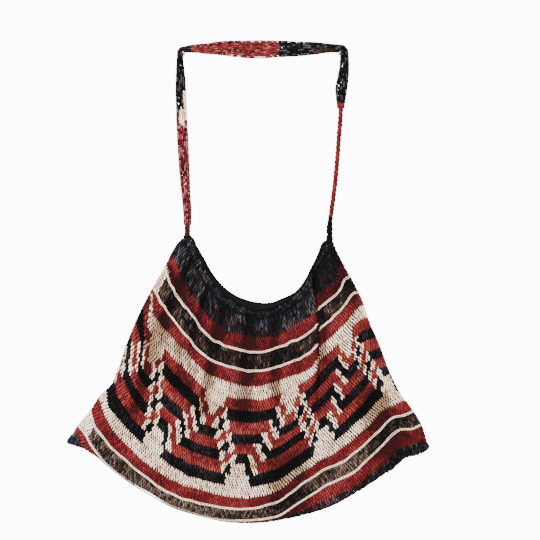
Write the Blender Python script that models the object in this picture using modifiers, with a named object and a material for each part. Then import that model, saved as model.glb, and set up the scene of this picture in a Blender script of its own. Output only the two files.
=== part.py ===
"""Looped string bag (bilum) hanging by its strap from two wall pins.

The bag is one pouch looped in the round from wool yarn: front and back are the same cloth, turned
at the sides and closed along the bottom, open at the mouth. The strap is one looped band that
grows out of the two mouth corners and lies over the pins.

Frame, metres: the origin lies on the wall, halfway between the pins. +X is to the right, +Z up and
+Y into the wall, so the bag hangs in front of the wall on the -Y side.
"""
import math

import bmesh
import bpy
from mathutils import Vector

MM = 0.001

# wall pins
PIN_X = 125.5 * MM           # half the distance between the two pins
PIN_RADIUS = 1.5 * MM
PIN_LENGTH = 27.0 * MM       # from the wall to the end of the pin
PIN_END_BEVEL = 0.5 * MM
PIN_BEVEL_STEPS = 2
PIN_SIDES = 16

# cloth
WALL = 2.5 * MM              # thickness of the looped cloth
GAP = 0.3 * MM               # between pieces that touch
STRAP_Y = -16.0 * MM         # the strap's middle, and the mouth corners', in front of the wall

# the pouch
MOUTH_DEPTH = 18.0 * MM      # front to back at the middle of the mouth, outside sizes
BELLY_DEPTH = 30.0 * MM      # and where the pouch is fullest
EDGE_DEPTH = 0.6             # share of the depth that is left beside the turned edges
BELLY_ROW = 0.62             # share of the way down where it is fullest
BELLY_LEAN = 1.5 * MM        # how far the full part hangs out from under the strap
SIDE_TURN = 0.045            # share of the width in which the front turns round to the back
BOTTOM_TURN = 0.05           # share of the height in which it turns under
BACK_RISE_POWER = 3          # how quickly the back's rows below the rim lose its rise
EDGE_POWER = 4               # how quickly the side outlines stop shaping the rows further in
MIDDLE_COLUMNS = 42          # panels between the two side turns
MIDDLE_ROWS = 17             # panels from the rim to the bottom turn
TURN_STEPS = 3               # panels in each turn

# outline of the pouch, mm: (x, z) points that a smooth line runs through. RIM is the front's rim,
# and BACK_RISE is how much higher the back's rim hangs: share across, mm
RIM = [(-124.5, -296.0), (-113.5, -297.0), (-105.5, -317.0), (-93.5, -339.5), (-79.0, -365.0),
       (-63.0, -383.5), (-34.5, -403.5), (4.0, -412.5), (29.5, -404.0), (50.0, -391.0),
       (68.0, -370.5), (80.5, -348.0), (92.0, -324.0), (102.0, -303.5), (113.5, -301.0)]
BACK_RISE = [(0.0, 0.0), (0.05, 0.0), (0.14, 7.0), (0.32, 7.0), (0.5, 9.5), (0.6, 6.0),
             (0.72, 0.0), (1.0, 0.0)]
BOTTOM = [(-311.0, -625.0), (-294.0, -630.5), (-271.5, -645.0), (-242.5, -667.5),
          (-210.5, -689.5), (-178.5, -708.0), (-146.5, -726.0), (-98.5, -742.0),
          (-50.5, -754.0), (13.5, -753.5), (61.5, -743.0), (109.5, -728.0), (157.5, -702.0),
          (205.5, -669.0), (234.0, -646.0), (253.5, -642.0), (267.0, -633.5)]
LEFT_EDGE = [(-124.5, -296.0), (-136.0, -306.5), (-143.0, -317.5), (-155.5, -342.5),
             (-174.0, -374.5), (-194.0, -413.0), (-218.0, -470.5), (-231.5, -509.0),
             (-242.0, -533.0), (-258.0, -548.0), (-274.5, -573.0), (-295.5, -598.5),
             (-311.0, -625.0)]
RIGHT_EDGE = [(113.5, -301.0), (120.5, -317.0), (135.5, -346.5), (151.0, -374.5),
              (162.0, -398.5), (173.5, -432.0), (190.0, -470.5), (204.5, -509.0),
              (223.0, -547.0), (242.0, -573.0), (257.5, -598.5), (267.0, -633.5)]

# folds of the cloth that run down from the rim, the same columns for both sides of the bag:
# side, share across at the rim, share across at the bottom, depth in mm (+ goes in, - comes out),
# half-width as a share across, share down where it starts and where it has died out
FOLD_LEAD = 0.08             # share down by which a fold's rise comes before its start
FOLD_RISE = 0.12             # share down in which it reaches its full depth
FOLD_FADE = 0.20             # and in which it dies out
FOLDS = [
    ("front", 0.836, 0.620, 7.5, 0.017, 0.04, 0.46),
    ("front", 0.795, 0.600, -3.5, 0.030, 0.02, 0.60),
    ("front", 0.875, 0.810, -3.0, 0.030, 0.02, 0.70),
    ("front", 0.962, 0.945, 3.0, 0.018, 0.10, 0.42),
    ("front", 0.577, 0.575, 3.5, 0.018, 0.02, 0.55),
    ("front", 0.476, 0.465, 4.0, 0.024, 0.03, 0.60),
    ("front", 0.350, 0.330, 3.0, 0.022, 0.04, 0.65),
    ("front", 0.246, 0.243, 2.5, 0.016, 0.04, 0.45),
    ("front", 0.205, 0.185, -3.0, 0.026, 0.05, 0.75),
    ("front", 0.118, 0.105, 3.5, 0.022, 0.08, 0.80),
    ("front", 0.620, 0.600, 4.5, 0.045, 0.72, 1.10),
    ("front", 0.870, 0.900, 4.5, 0.045, 0.66, 1.10),
    ("back", 0.300, 0.270, 3.0, 0.040, 0.05, 0.90),
    ("back", 0.520, 0.500, 2.5, 0.040, 0.10, 0.95),
    ("back", 0.700, 0.740, 3.0, 0.040, 0.02, 0.80),
]

# the strap: x, z, width and thickness of its sections in mm, going up on the left, over to the
# right and down again; between the rows named "pin" it lies on the pin in an arc
STRAP_LEFT = [
    (-119.6, -295.6, 10.0, 7.0), (-119.4, -262.0, 10.5, 5.0), (-122.4, -217.0, 13.0, 4.0),
    (-126.5, -150.0, 16.0, 3.6), (-129.4, -86.0, 15.0, 3.6), (-130.6, -40.0, 13.0, 4.0),
    (-131.4, -14.0, 9.0, 5.0)]
STRAP_TOP = [
    (-110.0, 7.4, 11.0, 5.0), (-92.0, 7.4, 14.5, 4.4), (-65.0, 8.2, 20.5, 3.8),
    (-28.0, 6.4, 26.0, 3.4), (0.0, 6.2, 27.0, 3.4), (28.0, 7.0, 24.5, 3.4),
    (63.0, 7.0, 21.0, 3.8), (90.0, 8.0, 17.0, 4.2), (108.0, 8.2, 12.5, 5.0)]
STRAP_RIGHT = [
    (133.4, -12.0, 12.5, 5.0), (131.5, -36.0, 15.0, 4.4), (128.2, -57.0, 17.0, 4.0),
    (127.4, -78.0, 12.0, 4.6), (127.0, -96.0, 7.6, 5.4), (124.6, -130.0, 6.2, 5.4),
    (117.2, -217.0, 6.4, 5.4), (111.2, -262.0, 6.6, 5.6), (109.4, -277.0, 8.6, 7.4),
    (109.2, -284.0, 7.4, 6.6), (109.3, -300.6, 9.0, 7.0)]
PIN_WRAP_LEFT = (8.0, 6.0)    # width and thickness on the left pin, mm
PIN_WRAP_RIGHT = (11.5, 6.0)
PIN_FACET = -0.15            # the band's faceted side lies this much inside its stated width, mm
ARC_STEPS = 6                # panels of the strap round each pin
DROP_SECTIONS = 26           # and down each side
TOP_SECTIONS = 18            # and between the pins
STRAP_SIDES = 8
STRAP_FACE_POWER = 0.6       # how square the section is along its wide face, 1 for an ellipse
STRAP_EDGE_POWER = 0.8       # and along its narrow edge

LINE_STEPS = 400             # even steps along each outline
LINE_DETAIL = 24             # steps of the smooth line between two of its given points

# colours, roughness and metallic value of each piece
LOOKS = {
    "bag_body": ((0.22, 0.045, 0.04, 1.0), 0.9, 0.0),
    "strap": ((0.33, 0.04, 0.035, 1.0), 0.9, 0.0),
    "pin": ((0.42, 0.38, 0.30, 1.0), 0.35, 1.0),
}


def clear_scene():
    for thing in list(bpy.data.objects):
        bpy.data.objects.remove(thing, do_unlink=True)


def make_material(name):
    colour, roughness, metallic = LOOKS[name]
    material = bpy.data.materials.new(name)
    material.use_nodes = True
    shader = material.node_tree.nodes["Principled BSDF"]
    shader.inputs["Base Color"].default_value = colour
    shader.inputs["Roughness"].default_value = roughness
    shader.inputs["Metallic"].default_value = metallic
    return material


def make_object(name, mesh, material, collection):
    piece = bpy.data.objects.new(name, mesh)
    collection.objects.link(piece)
    piece.data.materials.append(material)
    return piece


def smooth_line(rows, count):
    """count + 1 rows, evenly spaced by length, on a smooth line through the given rows."""
    rows = [tuple(float(value) for value in row) for row in rows]
    gaps = [math.dist(here[:2], there[:2]) for here, there in zip(rows, rows[1:])]
    slopes = [[(b - a) / gap for a, b in zip(here, there)]
              for here, there, gap in zip(rows, rows[1:], gaps)]
    tangents = [slopes[0]]
    for i in range(1, len(rows) - 1):
        tangents.append([(before * gaps[i] + after * gaps[i - 1]) / (gaps[i - 1] + gaps[i])
                         for before, after in zip(slopes[i - 1], slopes[i])])
    tangents.append(slopes[-1])
    fine = []
    for i, gap in enumerate(gaps):
        for k in range(LINE_DETAIL):
            t = k / LINE_DETAIL
            fine.append(tuple(
                a * (1 + 2 * t) * (1 - t) ** 2 + b * t * t * (3 - 2 * t)
                + gap * (m * t * (1 - t) ** 2 + n * t * t * (t - 1))
                for a, b, m, n in zip(rows[i], rows[i + 1], tangents[i], tangents[i + 1])))
    fine.append(rows[-1])
    run = [0.0]
    for here, there in zip(fine, fine[1:]):
        run.append(run[-1] + math.dist(here[:2], there[:2]))
    even = []
    k = 0
    for i in range(count + 1):
        want = run[-1] * i / count
        while k < len(run) - 2 and run[k + 1] < want:
            k += 1
        share = min(max((want - run[k]) / (run[k + 1] - run[k]), 0.0), 1.0)
        even.append(tuple(a + (b - a) * share for a, b in zip(fine[k], fine[k + 1])))
    return even


RIM_LINE = smooth_line(RIM, LINE_STEPS)
BOTTOM_LINE = smooth_line(BOTTOM, LINE_STEPS)
LEFT_LINE = smooth_line(LEFT_EDGE, LINE_STEPS)
RIGHT_LINE = smooth_line(RIGHT_EDGE, LINE_STEPS)


def along(line, share):
    """The (x, z) point at a share of a line's length, in metres."""
    place = min(max(share, 0.0), 1.0) * (len(line) - 1)
    k = min(int(place), len(line) - 2)
    part = place - k
    x = line[k][0] + (line[k + 1][0] - line[k][0]) * part
    z = line[k][1] + (line[k + 1][1] - line[k][1]) * part
    return Vector((x * MM, z * MM))


def smooth_step(value):
    value = min(max(value, 0.0), 1.0)
    return value * value * (3 - 2 * value)


def turned(share, turn, both_ends):
    """Where an even share of the cloth lies seen from the front, and how far it has come out of
    the turned edge: 0 on the edge, 1 on the flat."""
    reach = turn * 2 / math.pi
    flat = 1 - (2 * reach if both_ends else reach)
    if both_ends and share > 0.5:
        place, out = turned(1 - share, turn, True)
        return 1 - place, out
    if share < turn:
        angle = share / turn * math.pi / 2
        return reach * (1 - math.cos(angle)), math.sin(angle)
    rest = 1 - (2 * turn if both_ends else turn)
    return reach + (share - turn) * flat / rest, 1.0


def flat_point(across, down):
    """The pouch's outline filled in: its front view, without depth."""
    ruled = along(RIM_LINE, across).lerp(along(BOTTOM_LINE, across), down)
    for line, end in ((LEFT_LINE, 0.0), (RIGHT_LINE, 1.0)):
        straight = along(RIM_LINE, end).lerp(along(BOTTOM_LINE, end), down)
        nearness = 1 - abs(across - end)
        ruled += (along(line, down) - straight) * nearness ** EDGE_POWER
    return ruled


def back_rise(across):
    """How much higher than the front's rim the back's rim hangs."""
    for (here, low), (there, high) in zip(BACK_RISE, BACK_RISE[1:]):
        if across <= there:
            return (low + (high - low) * smooth_step((across - here) / (there - here))) * MM
    return 0.0


def fold_depth(side, across, down):
    depth = 0.0
    for fold_side, at_rim, at_bottom, size, half_width, start, finish in FOLDS:
        if fold_side != side:
            continue
        middle = at_rim + (at_bottom - at_rim) * down
        window = smooth_step((down - start + FOLD_LEAD) / FOLD_RISE)
        window *= smooth_step((finish - down) / FOLD_FADE)
        depth += size * MM * window * math.exp(-((across - middle) / half_width) ** 2)
    return depth


def pouch_point(side, across, down):
    """A point on the outside of the pouch. across runs from the left edge to the right edge, and
    down from the rim to the bottom edge, both as even shares of the cloth."""
    place, out_side = turned(across, SIDE_TURN, True)
    low, out_bottom = turned(1 - down, BOTTOM_TURN, False)
    row = 1 - low
    flat = flat_point(place, row)
    full = math.sin(math.pi * min(row / BELLY_ROW, 1.0) / 2)
    depth = MOUTH_DEPTH + (BELLY_DEPTH - MOUTH_DEPTH) * full
    depth *= EDGE_DEPTH + (1 - EDGE_DEPTH) * math.sin(math.pi * place)
    out = out_side * out_bottom
    half = depth / 2 * out
    middle = STRAP_Y - BELLY_LEAN * full
    sign = -1 if side == "front" else 1
    y = middle + sign * (half - fold_depth(side, place, row) * out)
    z = flat.y
    if side == "back":
        z += back_rise(across) * (1 - row) ** BACK_RISE_POWER
    return Vector((flat.x, y, z))


def bag_body(collection):
    """The looped pouch: an open surface from rim to rim round the bottom, given its thickness."""
    turn_columns = [SIDE_TURN * i / TURN_STEPS for i in range(TURN_STEPS)]
    middle = [SIDE_TURN + (1 - 2 * SIDE_TURN) * i / MIDDLE_COLUMNS
              for i in range(MIDDLE_COLUMNS + 1)]
    columns = turn_columns + middle + [1 - share for share in reversed(turn_columns)]
    rows = [(1 - BOTTOM_TURN) * i / MIDDLE_ROWS for i in range(MIDDLE_ROWS + 1)]
    rows += [1 - BOTTOM_TURN * (1 - (i + 1) / TURN_STEPS) for i in range(TURN_STEPS)]
    shell = bmesh.new()
    grid = {}
    for j, down in enumerate(rows):
        for i, across in enumerate(columns):
            front = shell.verts.new(pouch_point("front", across, down))
            grid["front", i, j] = front
            on_edge = i in (0, len(columns) - 1) or j == len(rows) - 1
            grid["back", i, j] = front if on_edge else shell.verts.new(
                pouch_point("back", across, down))
    for side in ("front", "back"):
        for j in range(len(rows) - 1):
            for i in range(len(columns) - 1):
                corners = [grid[side, i, j], grid[side, i, j + 1],
                           grid[side, i + 1, j + 1], grid[side, i + 1, j]]
                shell.faces.new(corners if side == "front" else corners[::-1])
    bmesh.ops.recalc_face_normals(shell, faces=shell.faces)
    mesh = bpy.data.meshes.new("bag_body")
    shell.to_mesh(mesh)
    shell.free()
    bag = make_object("bag_body", mesh, make_material("bag_body"), collection)
    thickness = bag.modifiers.new("cloth", "SOLIDIFY")
    thickness.thickness = WALL
    thickness.offset = -1
    thickness.use_even_offset = False
    return bag


def strap_sections():
    """x, z, width and thickness, in mm, of the strap from the left mouth corner to the right."""
    arcs = []
    for side, (width, thick) in ((-1, PIN_WRAP_LEFT), (1, PIN_WRAP_RIGHT)):
        radius = (PIN_RADIUS + GAP) / MM + PIN_FACET + width / 2
        arc = []
        for i in range(ARC_STEPS + 1):
            angle = math.pi / 2 * i / ARC_STEPS
            arc.append((side * (PIN_X / MM + radius * math.cos(angle)), radius * math.sin(angle),
                        width, thick))
        arcs.append(arc)
    left, right = arcs[0], arcs[1][::-1]
    sections = smooth_line(STRAP_LEFT + left[:1], DROP_SECTIONS)[:-1] + left[:-1]
    sections += smooth_line(left[-1:] + STRAP_TOP + right[:1], TOP_SECTIONS)[:-1] + right[:-1]
    return sections + smooth_line(right[-1:] + STRAP_RIGHT, DROP_SECTIONS)


def strap(collection):
    """The looped band: a loft of rounded flat sections, wide face to the front."""
    sections = strap_sections()
    band = bmesh.new()
    rings = []
    for k, (x, z, width, thick) in enumerate(sections):
        before = sections[max(k - 1, 0)]
        after = sections[min(k + 1, len(sections) - 1)]
        run = Vector((after[0] - before[0], 0, after[1] - before[1])).normalized()
        sideways = Vector((run.z, 0, -run.x))
        ring = []
        for n in range(STRAP_SIDES):
            angle = 2 * math.pi * (n + 0.5) / STRAP_SIDES
            wide = math.copysign(abs(math.cos(angle)) ** STRAP_FACE_POWER, math.cos(angle))
            deep = math.copysign(abs(math.sin(angle)) ** STRAP_EDGE_POWER, math.sin(angle))
            place = Vector((x * MM, STRAP_Y, z * MM))
            place += sideways * (wide * width * MM / 2)
            place.y += deep * thick * MM / 2
            ring.append(band.verts.new(place))
        rings.append(ring)
    for ring, following in zip(rings, rings[1:]):
        for n in range(STRAP_SIDES):
            m = (n + 1) % STRAP_SIDES
            band.faces.new((ring[n], ring[m], following[m], following[n]))
    band.faces.new(rings[0][::-1])
    band.faces.new(rings[-1])
    bmesh.ops.recalc_face_normals(band, faces=band.faces)
    mesh = bpy.data.meshes.new("strap")
    band.to_mesh(mesh)
    band.free()
    return make_object("strap", mesh, make_material("strap"), collection)


def pin(name, x, material, collection):
    """A plain round wall pin, its back end flat on the wall."""
    rod = bmesh.new()
    bmesh.ops.create_cone(rod, cap_ends=True, segments=PIN_SIDES, radius1=PIN_RADIUS,
                          radius2=PIN_RADIUS, depth=PIN_LENGTH)
    front = [edge for edge in rod.edges if all(v.co.z > 0 for v in edge.verts)]
    bmesh.ops.bevel(rod, geom=front, offset=PIN_END_BEVEL, segments=PIN_BEVEL_STEPS,
                    affect="EDGES")
    mesh = bpy.data.meshes.new(name)
    rod.to_mesh(mesh)
    rod.free()
    piece = make_object(name, mesh, material, collection)
    piece.rotation_euler = (math.pi / 2, 0, 0)
    piece.location = (x, -PIN_LENGTH / 2, 0)
    return piece


def build():
    clear_scene()
    collection = bpy.data.collections.new("bilum string bag")
    bpy.context.scene.collection.children.link(collection)
    bag_body(collection)
    strap(collection)
    metal = make_material("pin")
    pin("pin_left", -PIN_X, metal, collection)
    pin("pin_right", PIN_X, metal, collection)


build()
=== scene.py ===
import math

import bpy
import numpy as np
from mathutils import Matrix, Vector


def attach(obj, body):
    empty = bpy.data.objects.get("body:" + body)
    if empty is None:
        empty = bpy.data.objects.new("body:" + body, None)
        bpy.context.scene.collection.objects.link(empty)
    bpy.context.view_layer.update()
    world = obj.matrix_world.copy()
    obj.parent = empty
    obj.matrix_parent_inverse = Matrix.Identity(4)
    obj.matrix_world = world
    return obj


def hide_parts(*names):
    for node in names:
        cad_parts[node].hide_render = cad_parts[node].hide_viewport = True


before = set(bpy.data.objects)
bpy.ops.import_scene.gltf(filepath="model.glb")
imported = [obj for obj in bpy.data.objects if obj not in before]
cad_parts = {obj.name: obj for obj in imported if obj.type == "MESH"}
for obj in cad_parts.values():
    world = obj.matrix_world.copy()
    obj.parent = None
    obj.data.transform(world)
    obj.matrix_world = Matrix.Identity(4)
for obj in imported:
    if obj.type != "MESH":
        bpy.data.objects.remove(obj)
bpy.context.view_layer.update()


# ==== The pouch: how the looped cloth hangs ======================================================
# The pouch is one wool cloth, looped in the round and closed along its bottom edge. It hangs empty
# from its two mouth corners, so the rim sags between them, the sides flare out over the cloth's own
# width, and soft folds run down from the rim. Everything worked in yarn below follows this shape.

# lengths are in mm, and shares are of the pouch's width or height
STRAP_Y = -16.0              # the strap's middle, and the mouth corners', in front of the wall
MOUTH_DEPTH = 18.0           # front to back at the middle of the mouth
BELLY_DEPTH = 30.0           # and where the pouch is fullest
BELLY_ROW = 0.62             # share of the way down where it is fullest
BELLY_LEAN = 1.5             # how far the full part hangs out from under the strap
EDGE_DEPTH = 0.6             # share of the depth that is left beside the turned edges
EDGE_POWER = 4               # how quickly the side outlines stop shaping the rows further in
SIDE_TURN = 0.045            # share of the width, and of the height, taken up by a turned edge
BOTTOM_TURN = 0.05
BACK_RISE_POWER = 3          # how quickly the back's higher rim settles to the front's rows

# x and z of the front's outline, and how much higher the back's rim hangs at shares across
RIM = [(-124.5, -296.0), (-113.5, -297.0), (-105.5, -317.0), (-93.5, -339.5), (-79.0, -365.0),
       (-63.0, -383.5), (-34.5, -403.5), (4.0, -412.5), (29.5, -404.0), (50.0, -391.0),
       (68.0, -370.5), (80.5, -348.0), (92.0, -324.0), (102.0, -303.5), (113.5, -301.0)]
BACK_RISE = [(0.0, 0.0), (0.05, 0.0), (0.14, 7.0), (0.32, 7.0), (0.5, 9.5), (0.6, 6.0),
             (0.72, 0.0), (1.0, 0.0)]
BOTTOM = [(-311.0, -625.0), (-294.0, -630.5), (-271.5, -645.0), (-242.5, -667.5),
          (-210.5, -689.5), (-178.5, -708.0), (-146.5, -726.0), (-98.5, -742.0),
          (-50.5, -754.0), (13.5, -753.5), (61.5, -743.0), (109.5, -728.0), (157.5, -702.0),
          (205.5, -669.0), (234.0, -646.0), (253.5, -642.0), (267.0, -633.5)]
LEFT_EDGE = [(-124.5, -296.0), (-136.0, -306.5), (-143.0, -317.5), (-155.5, -342.5),
             (-174.0, -374.5), (-194.0, -413.0), (-218.0, -470.5), (-231.5, -509.0),
             (-242.0, -533.0), (-258.0, -548.0), (-274.5, -573.0), (-295.5, -598.5),
             (-311.0, -625.0)]
RIGHT_EDGE = [(113.5, -301.0), (120.5, -317.0), (135.5, -346.5), (151.0, -374.5),
              (162.0, -398.5), (173.5, -432.0), (190.0, -470.5), (204.5, -509.0),
              (223.0, -547.0), (242.0, -573.0), (257.5, -598.5), (267.0, -633.5)]

FOLD_LEAD = 0.08             # share of the height by which a fold begins before its start
FOLD_RISE = 0.12             # and over which it deepens
FOLD_FADE = 0.20             # and dies out
# side, share across at the rim, share across at the bottom, depth in mm (+ in, - out),
# half-width, share down where it starts, share down where it has died out
FOLDS = [
    ("front", 0.836, 0.620, 7.5, 0.017, 0.04, 0.46),
    ("front", 0.795, 0.600, -3.5, 0.030, 0.02, 0.60),
    ("front", 0.875, 0.810, -3.0, 0.030, 0.02, 0.70),
    ("front", 0.962, 0.945, 3.0, 0.018, 0.10, 0.42),
    ("front", 0.577, 0.575, 3.5, 0.018, 0.02, 0.55),
    ("front", 0.476, 0.465, 4.0, 0.024, 0.03, 0.60),
    ("front", 0.350, 0.330, 3.0, 0.022, 0.04, 0.65),
    ("front", 0.246, 0.243, 2.5, 0.016, 0.04, 0.45),
    ("front", 0.205, 0.185, -3.0, 0.026, 0.05, 0.75),
    ("front", 0.118, 0.105, 3.5, 0.022, 0.08, 0.80),
    ("front", 0.620, 0.600, 4.5, 0.045, 0.72, 1.10),
    ("front", 0.870, 0.900, 4.5, 0.045, 0.66, 1.10),
    ("back", 0.300, 0.270, 3.0, 0.040, 0.05, 0.90),
    ("back", 0.520, 0.500, 2.5, 0.040, 0.10, 0.95),
    ("back", 0.700, 0.740, 3.0, 0.040, 0.02, 0.80),
]


def smooth_line(points, count=400, detail=24):
    """count + 1 rows, evenly spaced by length, on a smooth line through the given rows. The first
    two columns are a place, and any others are carried along."""
    rows = np.array(points, float)
    gaps = np.linalg.norm(np.diff(rows[:, :2], axis=0), axis=1)[:, None]
    slopes = np.diff(rows, axis=0) / gaps
    inner = (slopes[:-1] * gaps[1:] + slopes[1:] * gaps[:-1]) / (gaps[:-1] + gaps[1:])
    tangents = np.vstack([slopes[:1], inner, slopes[-1:]])
    t = (np.arange(detail) / detail)[None, :, None]
    start, end = rows[:-1, None], rows[1:, None]
    leave, arrive = tangents[:-1, None], tangents[1:, None]
    fine = start * (1 + 2 * t) * (1 - t) ** 2 + end * t * t * (3 - 2 * t)
    fine = fine + gaps[:, None] * (leave * t * (1 - t) ** 2 + arrive * t * t * (t - 1))
    fine = np.vstack([fine.reshape(-1, rows.shape[1]), rows[-1:]])
    steps = np.linalg.norm(np.diff(fine[:, :2], axis=0), axis=1)
    run = np.concatenate([[0.0], np.cumsum(steps)])
    wanted = np.linspace(0.0, run[-1], count + 1)
    return np.stack([np.interp(wanted, run, fine[:, k]) for k in range(rows.shape[1])], axis=1)


RIM_LINE = smooth_line(RIM)
BOTTOM_LINE = smooth_line(BOTTOM)
LEFT_LINE = smooth_line(LEFT_EDGE)
RIGHT_LINE = smooth_line(RIGHT_EDGE)


def along(line, share):
    """The (x, z) points, in mm, at shares of a line's length."""
    shares = np.linspace(0.0, 1.0, len(line))
    return np.stack([np.interp(share, shares, line[:, k]) for k in (0, 1)], axis=-1)


def smooth_step(value):
    """0 below 0, 1 above 1, and eased between them."""
    value = np.clip(value, 0.0, 1.0)
    return value * value * (3 - 2 * value)


def turned(share, turn, both_ends):
    """Where an even share of the cloth lies seen from the front, and how far out of its turned
    edge it has come: 0 on the edge, 1 on the flat."""
    far = (share > 0.5) & both_ends
    near = np.where(far, 1 - share, share)
    ends = 2 if both_ends else 1
    reach = turn * 2 / math.pi
    angle = np.clip(near / turn, 0.0, 1.0) * math.pi / 2
    on_flat = reach + (near - turn) * (1 - ends * reach) / (1 - ends * turn)
    place = np.where(near < turn, reach * (1 - np.cos(angle)), on_flat)
    return np.where(far, 1 - place, place), np.sin(angle)


def flat_outline(across, down):
    """The pouch's outline filled in: its front view, without depth, in mm."""
    down = down[..., None]
    place = along(RIM_LINE, across) * (1 - down) + along(BOTTOM_LINE, across) * down
    for line, end in ((LEFT_LINE, 0.0), (RIGHT_LINE, 1.0)):
        rim_end, bottom_end = along(RIM_LINE, end), along(BOTTOM_LINE, end)
        straight = rim_end * (1 - down) + bottom_end * down
        nearness = (1 - np.abs(across - end))[..., None]
        place = place + (along(line, down[..., 0]) - straight) * nearness ** EDGE_POWER
    return place


def back_rise(across):
    """How much higher than the front's rim the back's rim hangs, in mm."""
    rise = np.zeros_like(across)
    for (here, low), (there, high) in zip(BACK_RISE, BACK_RISE[1:]):
        inside = (across >= here) & (across <= there)
        eased = low + (high - low) * smooth_step((across - here) / (there - here))
        rise = np.where(inside, eased, rise)
    return rise


def fold_depth(front, across, down):
    """How far in the cloth lies for its folds, in mm."""
    depth = np.zeros_like(across)
    for side, at_rim, at_bottom, size, half_width, start, finish in FOLDS:
        middle = at_rim + (at_bottom - at_rim) * down
        window = smooth_step((down - start + FOLD_LEAD) / FOLD_RISE)
        window = window * smooth_step((finish - down) / FOLD_FADE)
        fold = size * window * np.exp(-((across - middle) / half_width) ** 2)
        depth = depth + np.where(front == (side == "front"), fold, 0.0)
    return depth


def cloth_point(around, down):
    """Points on the outside of the pouch, in mm. around is 0 at the left edge, 1 at the right edge
    and 2 at the left again, by way of the back. down is 0 at the rim and 1 at the bottom edge, and
    goes on past 1 up the other side."""
    around = np.mod(around, 2.0)
    over = down > 1
    around = np.where(over, 2 - around, around)
    down = np.where(over, 2 - down, down)
    front = around < 1
    across = np.where(front, around, 2 - around)
    place, out_side = turned(across, SIDE_TURN, True)
    low, out_bottom = turned(1 - down, BOTTOM_TURN, False)
    row = 1 - low
    flat = flat_outline(place, row)
    full = np.sin(math.pi * np.minimum(row / BELLY_ROW, 1.0) / 2)
    depth = MOUTH_DEPTH + (BELLY_DEPTH - MOUTH_DEPTH) * full
    depth = depth * (EDGE_DEPTH + (1 - EDGE_DEPTH) * np.sin(math.pi * place))
    out = out_side * out_bottom
    away = depth / 2 * out - fold_depth(front, place, row) * out
    y = STRAP_Y - BELLY_LEAN * full + np.where(front, -away, away)
    rise = back_rise(across) * (1 - row) ** BACK_RISE_POWER
    z = flat[..., 1] + np.where(front, 0.0, rise)
    return np.stack([flat[..., 0], y, z], axis=-1)


def cloth_frame(around, down, step=0.002):
    """Points on the pouch, and there the way out of the cloth and the way round it."""
    sideways = cloth_point(around + step, down) - cloth_point(around - step, down)
    downwards = cloth_point(around, down + step) - cloth_point(around, down - step)
    out = np.cross(downwards, sideways)
    out = out / np.linalg.norm(out, axis=-1, keepdims=True)
    return cloth_point(around, down), out, sideways / (2 * step)


# ==== The cloth's rows ===========================================================================
# The cloth is looped round and round, and the dye of its wool changes band by band. Heights are
# counted in even rows, 42 from rim to seam, each of about two rows of stitches. A hanging net's rows
# never stay level, and at the deep fold the cloth is doubled under, so that they do not meet.
LAST_ROW = 42
# shares of the width across, from the left edge, at which the rows' heights are known
STATIONS = (0.00, 0.03, 0.06, 0.10, 0.24, 0.26, 0.34, 0.50, 0.58, 0.64, 0.70, 0.76, 0.78,
            0.90, 0.93, 0.96, 1.00)
FIRST_BEYOND = 12            # the deep fold lies between the station of this number and the last
# row: how far down it lies at each of those shares across
ROW_LINES = {
    0: (0.0,) * len(STATIONS),
    4: (.090, .100, .125, .130, .135, .140, .140, .125, .130, .125, .135, .150,
        .090, .145, .155, .115, .100),
    6.5: (.140, .170, .200, .200, .200, .215, .215, .195, .190, .190, .205, .210,
          .155, .200, .205, .175, .165),
    9.5: (.240, .260, .285, .285, .290, .300, .300, .280, .275, .280, .285, .285,
          .235, .265, .270, .245, .250),
    12: (.270, .275, .350, .350, .340, .350, .365, .350, .340, .345, .350, .340,
         .300, .325, .330, .305, .310),
    14: (.280, .285, .410, .415, .405, .410, .430, .410, .405, .400, .390, .380,
         .350, .380, .370, .360, .360),
    20: (.455, .490, .520, .555, .565, .570, .580, .570, .560, .540, .505, .495,
         .490, .485, .495, .505, .505),
    26: (.590, .625, .665, .685, .715, .715, .715, .705, .680, .645, .630, .625,
         .625, .615, .615, .620, .620),
    30: (.710, .730, .785, .790, .815, .815, .825, .810, .790, .755, .720, .715,
         .715, .705, .705, .700, .700),
    32: (.750, .775, .820, .840, .870, .875, .870, .860, .840, .785, .760, .765,
         .765, .750, .755, .750, .755),
    34.5: (.810, .840, .885, .900, .925, .930, .930, .910, .890, .835, .810, .820,
           .820, .805, .805, .805, .815),
    37.5: (.895, .910, .940, .970, 1.010, 1.015, 1.010, .960, .955, .910, .880, .885,
           .890, .860, .865, .875, .885),
    40: (.930, .935, 1.005, 1.010, 1.035, 1.040, 1.040, 1.005, .990, .955, .940, .950,
         .950, .935, .940, .940, .940),
    42: (1.000, 1.000, 1.020, 1.030, 1.055, 1.060, 1.060, 1.030, 1.015, 1.000, 1.000, 1.000,
         1.000, 1.000, 1.000, 1.000, 1.000),
}
LINE_ROWS = (6.5, 9.5, 34.5, 37.5)   # the middles of the four thin cream lines
LINE_HALF_ROW = 0.2          # half a line's height, in even rows and as a share down
LINE_HALF = 0.003
FOLD_AT_RIM = 0.825          # where across the deep fold is, and how far it leans down to the hem
FOLD_LEAN = -0.225
FOLD_LAST_ROW = 14           # below this row the bands meet across the fold again
FOLD_SHARP = 0.004           # share across in which the rows step there
FOLD_BLURRED = 0.12          # and where the fold has died out
FOLD_WIDTH = 0.008           # half the share across that lies in its shadow
FOLD_FROM = 0.33             # share down where the fold begins to blur, and how much further down
FOLD_OUT = 0.25              # it is gone
BACK_LIKE = 0.64             # the back's rows are as far apart as the front's at this share across
BACK_EDGE = 0.20             # and meet the front's within this share of its width
WANDER_PATCHES = (84, 12, 5)             # patches round, patches down and their seed
UNEVEN_ROWS = 0.32           # even rows that a row wanders up and down, in all
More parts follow.
